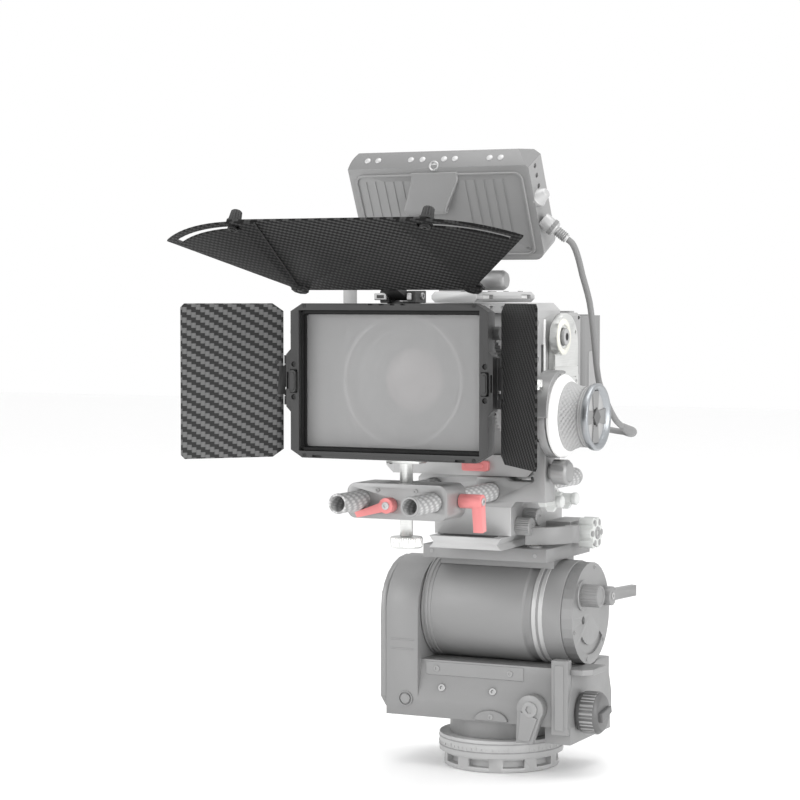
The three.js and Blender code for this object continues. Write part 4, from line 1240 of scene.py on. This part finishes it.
# ------------------------------------------------------------------ fluid head
def make_head():
    # End cap: dished crescent, hole and small screws.
    cut = bmesh.new()
    add_turned(cut, "x", [(0, 77), (3.2, 77), (3.4, 81), (0, 81)], (-17, 126), 28)
    arc = []
    for k in range(13):
        a = math.radians(-140 + 100 * k / 12)
        arc.append((34 * math.cos(a), TILT_Z + 34 * math.sin(a)))
    for k in range(13):
        a = math.radians(-40 - 100 * k / 12)
        arc.append((26 * math.cos(a), TILT_Z + 26 * math.sin(a)))
    add_prism(cut, "x", arc, 78.2, 81)
    carved("tilt_end_cap", cut, bevel=0.9)
    places = []
    for k in range(6):
        a = math.radians(18 + 60 * k)
        places.append((79.9, 38 * math.cos(a), TILT_Z + 38 * math.sin(a)))
    screws("end_cap_screws", places, (1, 0, 0), "screw_grey", 1.6, 0.7, body="tilt_head")
    piece("drag_knob_collar", ring("x", [(9.2, 80), (12.4, 80), (12.4, 81.2), (11.6, 81.8), (9.2, 81.8)],
        TILT_KNOB, 48), "head_cover", "tilt_head", bevel=0)
    bm = bmesh.new()
    profile = [(0, 80.6), (8.8, 80.6), (9.2, 81.2), (9.2, 94.6), (8.6, 96.2), (7.4, 97), (6.6, 97),
        (6, 96.2), (0, 96.2)]
    add_turned(bm, "x", profile, TILT_KNOB, 120, ribbed(24, 0.45, 9.1))
    knob = piece("tilt_drag_grip", bm, "head_metal", "tilt_drag", bevel=0, angle=30)
    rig.replaces(knob, "tilt_drag_knob")
    # Two light bands at the right of the drum, and collar rings at its left.
    bands = [[(42.8, x), (43.4, x + 0.4), (43.4, x + 3.4), (42.8, x + 3.8)] for x in (44.6, 50.4)]
    bm = ring_set("x", bands, (0, TILT_Z), 96)
    piece("drum_bands", bm, "pale_metal", "tilt_head", bevel=0)
    collars = [[(42.7, x), (43.4, x + 0.4), (43.4, x + 1.6), (42.7, x + 2)] for x in (-54.4, -50.6, -47.4)]
    bm = ring_set("x", collars, (0, TILT_Z), 96)
    piece("drum_collars", bm, "head_metal", "tilt_head", bevel=0)
    # Screws round the left cover's rim, seen from the left, and its raised centre.
    places = []
    for k in range(5):
        a = math.radians(20 + 35 * k)
        places.append((-89.9, 41 * math.cos(a), TILT_Z + 35 * math.sin(a)))
    places += [(-89.9, -40, 62), (-89.9, 40, 62)]
    screws("cover_screws", places, (-1, 0, 0), "screw_grey", 2.6, 1.6, body="pan_head")
    bm = bmesh.new()
    add_turned(bm, "x", [(0, -92.2), (27, -92.2), (30, -91.2), (30, -89.6), (0, -89.6)], (0, TILT_Z), 64)
    turned_ring(bm, "x", [(32, -90.8), (34, -90.8), (34, -89.6), (32, -89.6)], (0, TILT_Z), 72)
    piece("cover_centre", bm, "head_cover", "pan_head", bevel=0.4)
    piece("cover_scale_window", prism("x", rounded_rectangle((-18, 92), (18, 102), 4), -91.0, -89.7),
        "grey_plastic", "pan_head", bevel=0.3)
    # Front of the casting: strip with two screws, round screw and arc boss, plug on the left housing.
    piece("front_strip", box((-50, -42.7, 76.5), (38, -41.6, 87.5)), "head_cover", "pan_head", bevel=0.5)
    screws("strip_screws", [(-40, -42.6, 82), (26, -42.6, 82)], (0, -1, 0), "screw_grey", 2.6, 0.8,
        body="pan_head")
    slope = Vector((0, -17, 6)).normalized()
    screws("slope_screws", [(12, -45.1, 66.5), (-34, -45.1, 66.5)], slope, "screw_grey", 3.2, 1.4,
        body="pan_head")
    bm = bmesh.new()
    half = []
    for k in range(17):
        a = math.pi * k / 16
        half.append((12 + 15 * math.cos(a), 43 + 9 * math.sin(a)))
    add_prism(bm, "y", half, -50.4, -47.4)
    piece("neck_boss", bm, "head_metal", "pan_head", bevel=0.9)
    screws("neck_boss_screw", [(12, -50.3, 46.6)], (0, -1, 0), "screw_grey", 2.4, 0.7, body="pan_head")
    bm = bmesh.new()
    add_turned(bm, "y", [(0, -50), (3.6, -50), (4.4, -49.4), (4.4, -47.6), (0, -47.6)], (-66, 56), 28)
    turned_ring(bm, "y", [(5.4, -49), (6.4, -49), (6.4, -47.6), (5.4, -47.6)], (-66, 56), 32)
    piece("housing_plug", bm, "head_cover", "pan_head", bevel=0.2)
    bm = boxes(((-80, -48.4, z), (-59, CASTING_FRONT, z + 1.2)) for z in (96.8, 104.6))
    piece("housing_lines", bm, "head_metal", "pan_head", bevel=0.2)
    # Right post of the casting, and the flange above the drag knob.
    piece("casting_post", box((65, -50, 36), (79.6, -41, 97)), "head_metal", "pan_head", bevel=0.9)
    piece("casting_post_face", box((68.4, -50.7, 40), (76, -49.8, 93)), "head_cover", "pan_head", bevel=0.5)
    piece("casting_flange", prism("z", [(79.4, -44), (90, -44), (97, -37), (97, -8), (79.4, -8)], 84.6,
        89.6), "head_cover", "pan_head", bevel=0.8)
    # Platform: face screws, a level vial and its seat.
    screws("platform_screws", [(50, -48, 180.5), (-42, -48, 180.5)], (0, -1, 0), "screw_grey", radius=1.6,
        height=0.5, body="tilt_head")
    piece("level_ring", turned("z", [(0, 185.8), (6, 185.8), (6, 187.6), (5.2, 188.2), (4.4, 187.6),
        (0, 187.4)], (46, -38), 36), "head_cover", "tilt_head", bevel=0.1)
    piece("level_vial", turned("z", [(0, 187.2), (4.2, 187.2), (3.4, 187.9), (0, 188.2)], (46, -38), 28),
        "ivory", "tilt_head", slot="white_plastic", bevel=0)
    # Two knurled cylinders under the plate's right side.
    bm = bmesh.new()
    for y, z in ((-30, 210), (-46, 204)):
        add_turned(bm, "x", [(0, 33.6), (6.6, 33.6), (7.4, 34.4), (7.4, 46), (6.6, 46.8), (2.6, 46.8),
            (2.2, 46), (0, 46)], (y, z), 96, ribbed(24, 0.45, 7))
    piece("clamp_thumbwheels", bm, "rig_metal", bevel=0, angle=30)
    bm = bmesh.new()
    for k in range(6):
        a = math.radians(60 * k)
        add_turned(bm, "x", [(0, 79.4), (2.6, 79.4), (2.6, 80.2), (0, 80.6)],
            (STAR_KNOB[0] + 9.5 * math.cos(a), STAR_KNOB[1] + 9.5 * math.sin(a)), 16)
    turned_ring(bm, "x", [(2, 79.6), (5.4, 79.6), (5, 80.9), (2.4, 80.9)], STAR_KNOB, 32)
    piece("star_knob_face", bm, "rig_metal", "plate_lock", slot="white_plastic", bevel=0)
    # Pan drag knob: ribbed rim and a bar grip across its face.
    piece("pan_knob_ribs", ring("x", [(16.6, 84.6), (17.4, 85), (17.4, 96), (16.6, 96.4)], PAN_KNOB, 120,
        ribbed(30, 0.7, 17)), "rig_metal", "pan_drag", bevel=0)
    bm = bmesh.new()
    turn = Matrix.Translation((0, *PAN_KNOB)) @ Matrix.Rotation(math.radians(12), 4, "X")
    add_prism(bm, "x", [(-11, -4), (11, -2.8), (11, 2.8), (-11, 4)], 99.6, 103, matrix=turn)
    piece("pan_knob_bar", bm, "grip_dark", "pan_drag", slot="rig_metal", bevel=0.7)
    piece("pan_lever_cap", prism("y", [(42, 55), (57, 50), (50, 31), (40, 31)], -59.4, -57.6), "head_cover",
        "pan_lock", bevel=0.6)
    screws("pan_lever_screw", [(50, -58, 57)], (0, -1, 0), "screw_grey", 6.5, 1.6, body="pan_lock")
    screws("tilt_lever_screw", [(89.9, 24, 142)], (1, 0, 0), "steel", 3, 0.9, body="tilt_lock")
    # Base: rings and a scale on the disc.
    base_rings = [[(50.8, z), (52.25, z + 0.2), (52.25, z + 1), (50.8, z + 1.2)] for z in (16, 23)]
    bm = ring_set("z", base_rings, (0, 0), 96)
    piece("base_rings", bm, "head_cover", "tripod_base", bevel=0)
    bm = bmesh.new()
    for k in range(72):
        tall = 3.2 if k % 6 == 0 else 1.8
        turn = Matrix.Rotation(2 * math.pi * k / 72, 4, "Z")
        add_box(bm, (51.6, -0.22, 18), (52.3, 0.22, 18 + tall), matrix=turn)
    piece("pan_scale", bm, "pale_metal", "tripod_base", slot="white_plastic", bevel=0)


make_monitor()
make_flags()
make_matte_box()
make_lens()
make_follow_focus()
make_camera_parts()
make_rod_parts()
make_head()


# ------------------------------------------------------------------ floor, light and world
def make_stage():
    bm = bmesh.new()
    add_box(bm, (-6000, -6000, -20), (6000, 6000, -0.4))
    floor = linked("floor", bm)
    floor.data.materials.append(painted("floor_paint", 0.93, 0.85, 0, 0.01, (1, 1, 1), 0.01))
    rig.stage(floor)


def soft_box(name, place, target, size, power):
    data = bpy.data.lights.new(name, "AREA")
    data.shape = "RECTANGLE"
    data.size = size[0]
    data.size_y = size[1]
    data.energy = power
    lamp = bpy.data.objects.new(name, data)
    bpy.context.scene.collection.objects.link(lamp)
    lamp.location = place
    lamp.rotation_euler = (Vector(target) - Vector(place)).to_track_quat("-Z", "Y").to_euler()
    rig.stage(lamp)


make_stage()
soft_box("overhead", (0.2, -0.1, 1.9), (0, 0, 0.25), (1.6, 1.4), 17)
soft_box("front_left", (-1.3, -1.7, 0.9), (0, -0.05, 0.3), (1.2, 1.2), 13)
soft_box("right_side", (2.0, -0.74, 0.7), (0, -0.1, 0.3), (0.9, 1.4), 15)
soft_box("low_front", (0.5, -2.2, 0.12), (0, 0, 0.25), (1.6, 0.5), 5)
world = bpy.data.worlds.new("world")
bpy.context.scene.world = world
world.use_nodes = True
world.node_tree.nodes["Background"].inputs["Color"].default_value = (1, 1, 1, 1)
world.node_tree.nodes["Background"].inputs["Strength"].default_value = 1.0
bpy.context.scene.view_settings.view_transform = "Standard"

# ------------------------------------------------------------------ size, written to extents.json
bpy.context.view_layer.update()
VISUAL_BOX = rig.bounds()
json.dump(
    {"cad": [list(v) for v in CAD_BOX], "visual": [list(v) for v in VISUAL_BOX]},
    open("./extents.json", "w"),
)
print("cad box", [round(x * 1000, 1) for v in CAD_BOX for x in v])
print("visual box", [round(x * 1000, 1) for v in VISUAL_BOX for x in v])
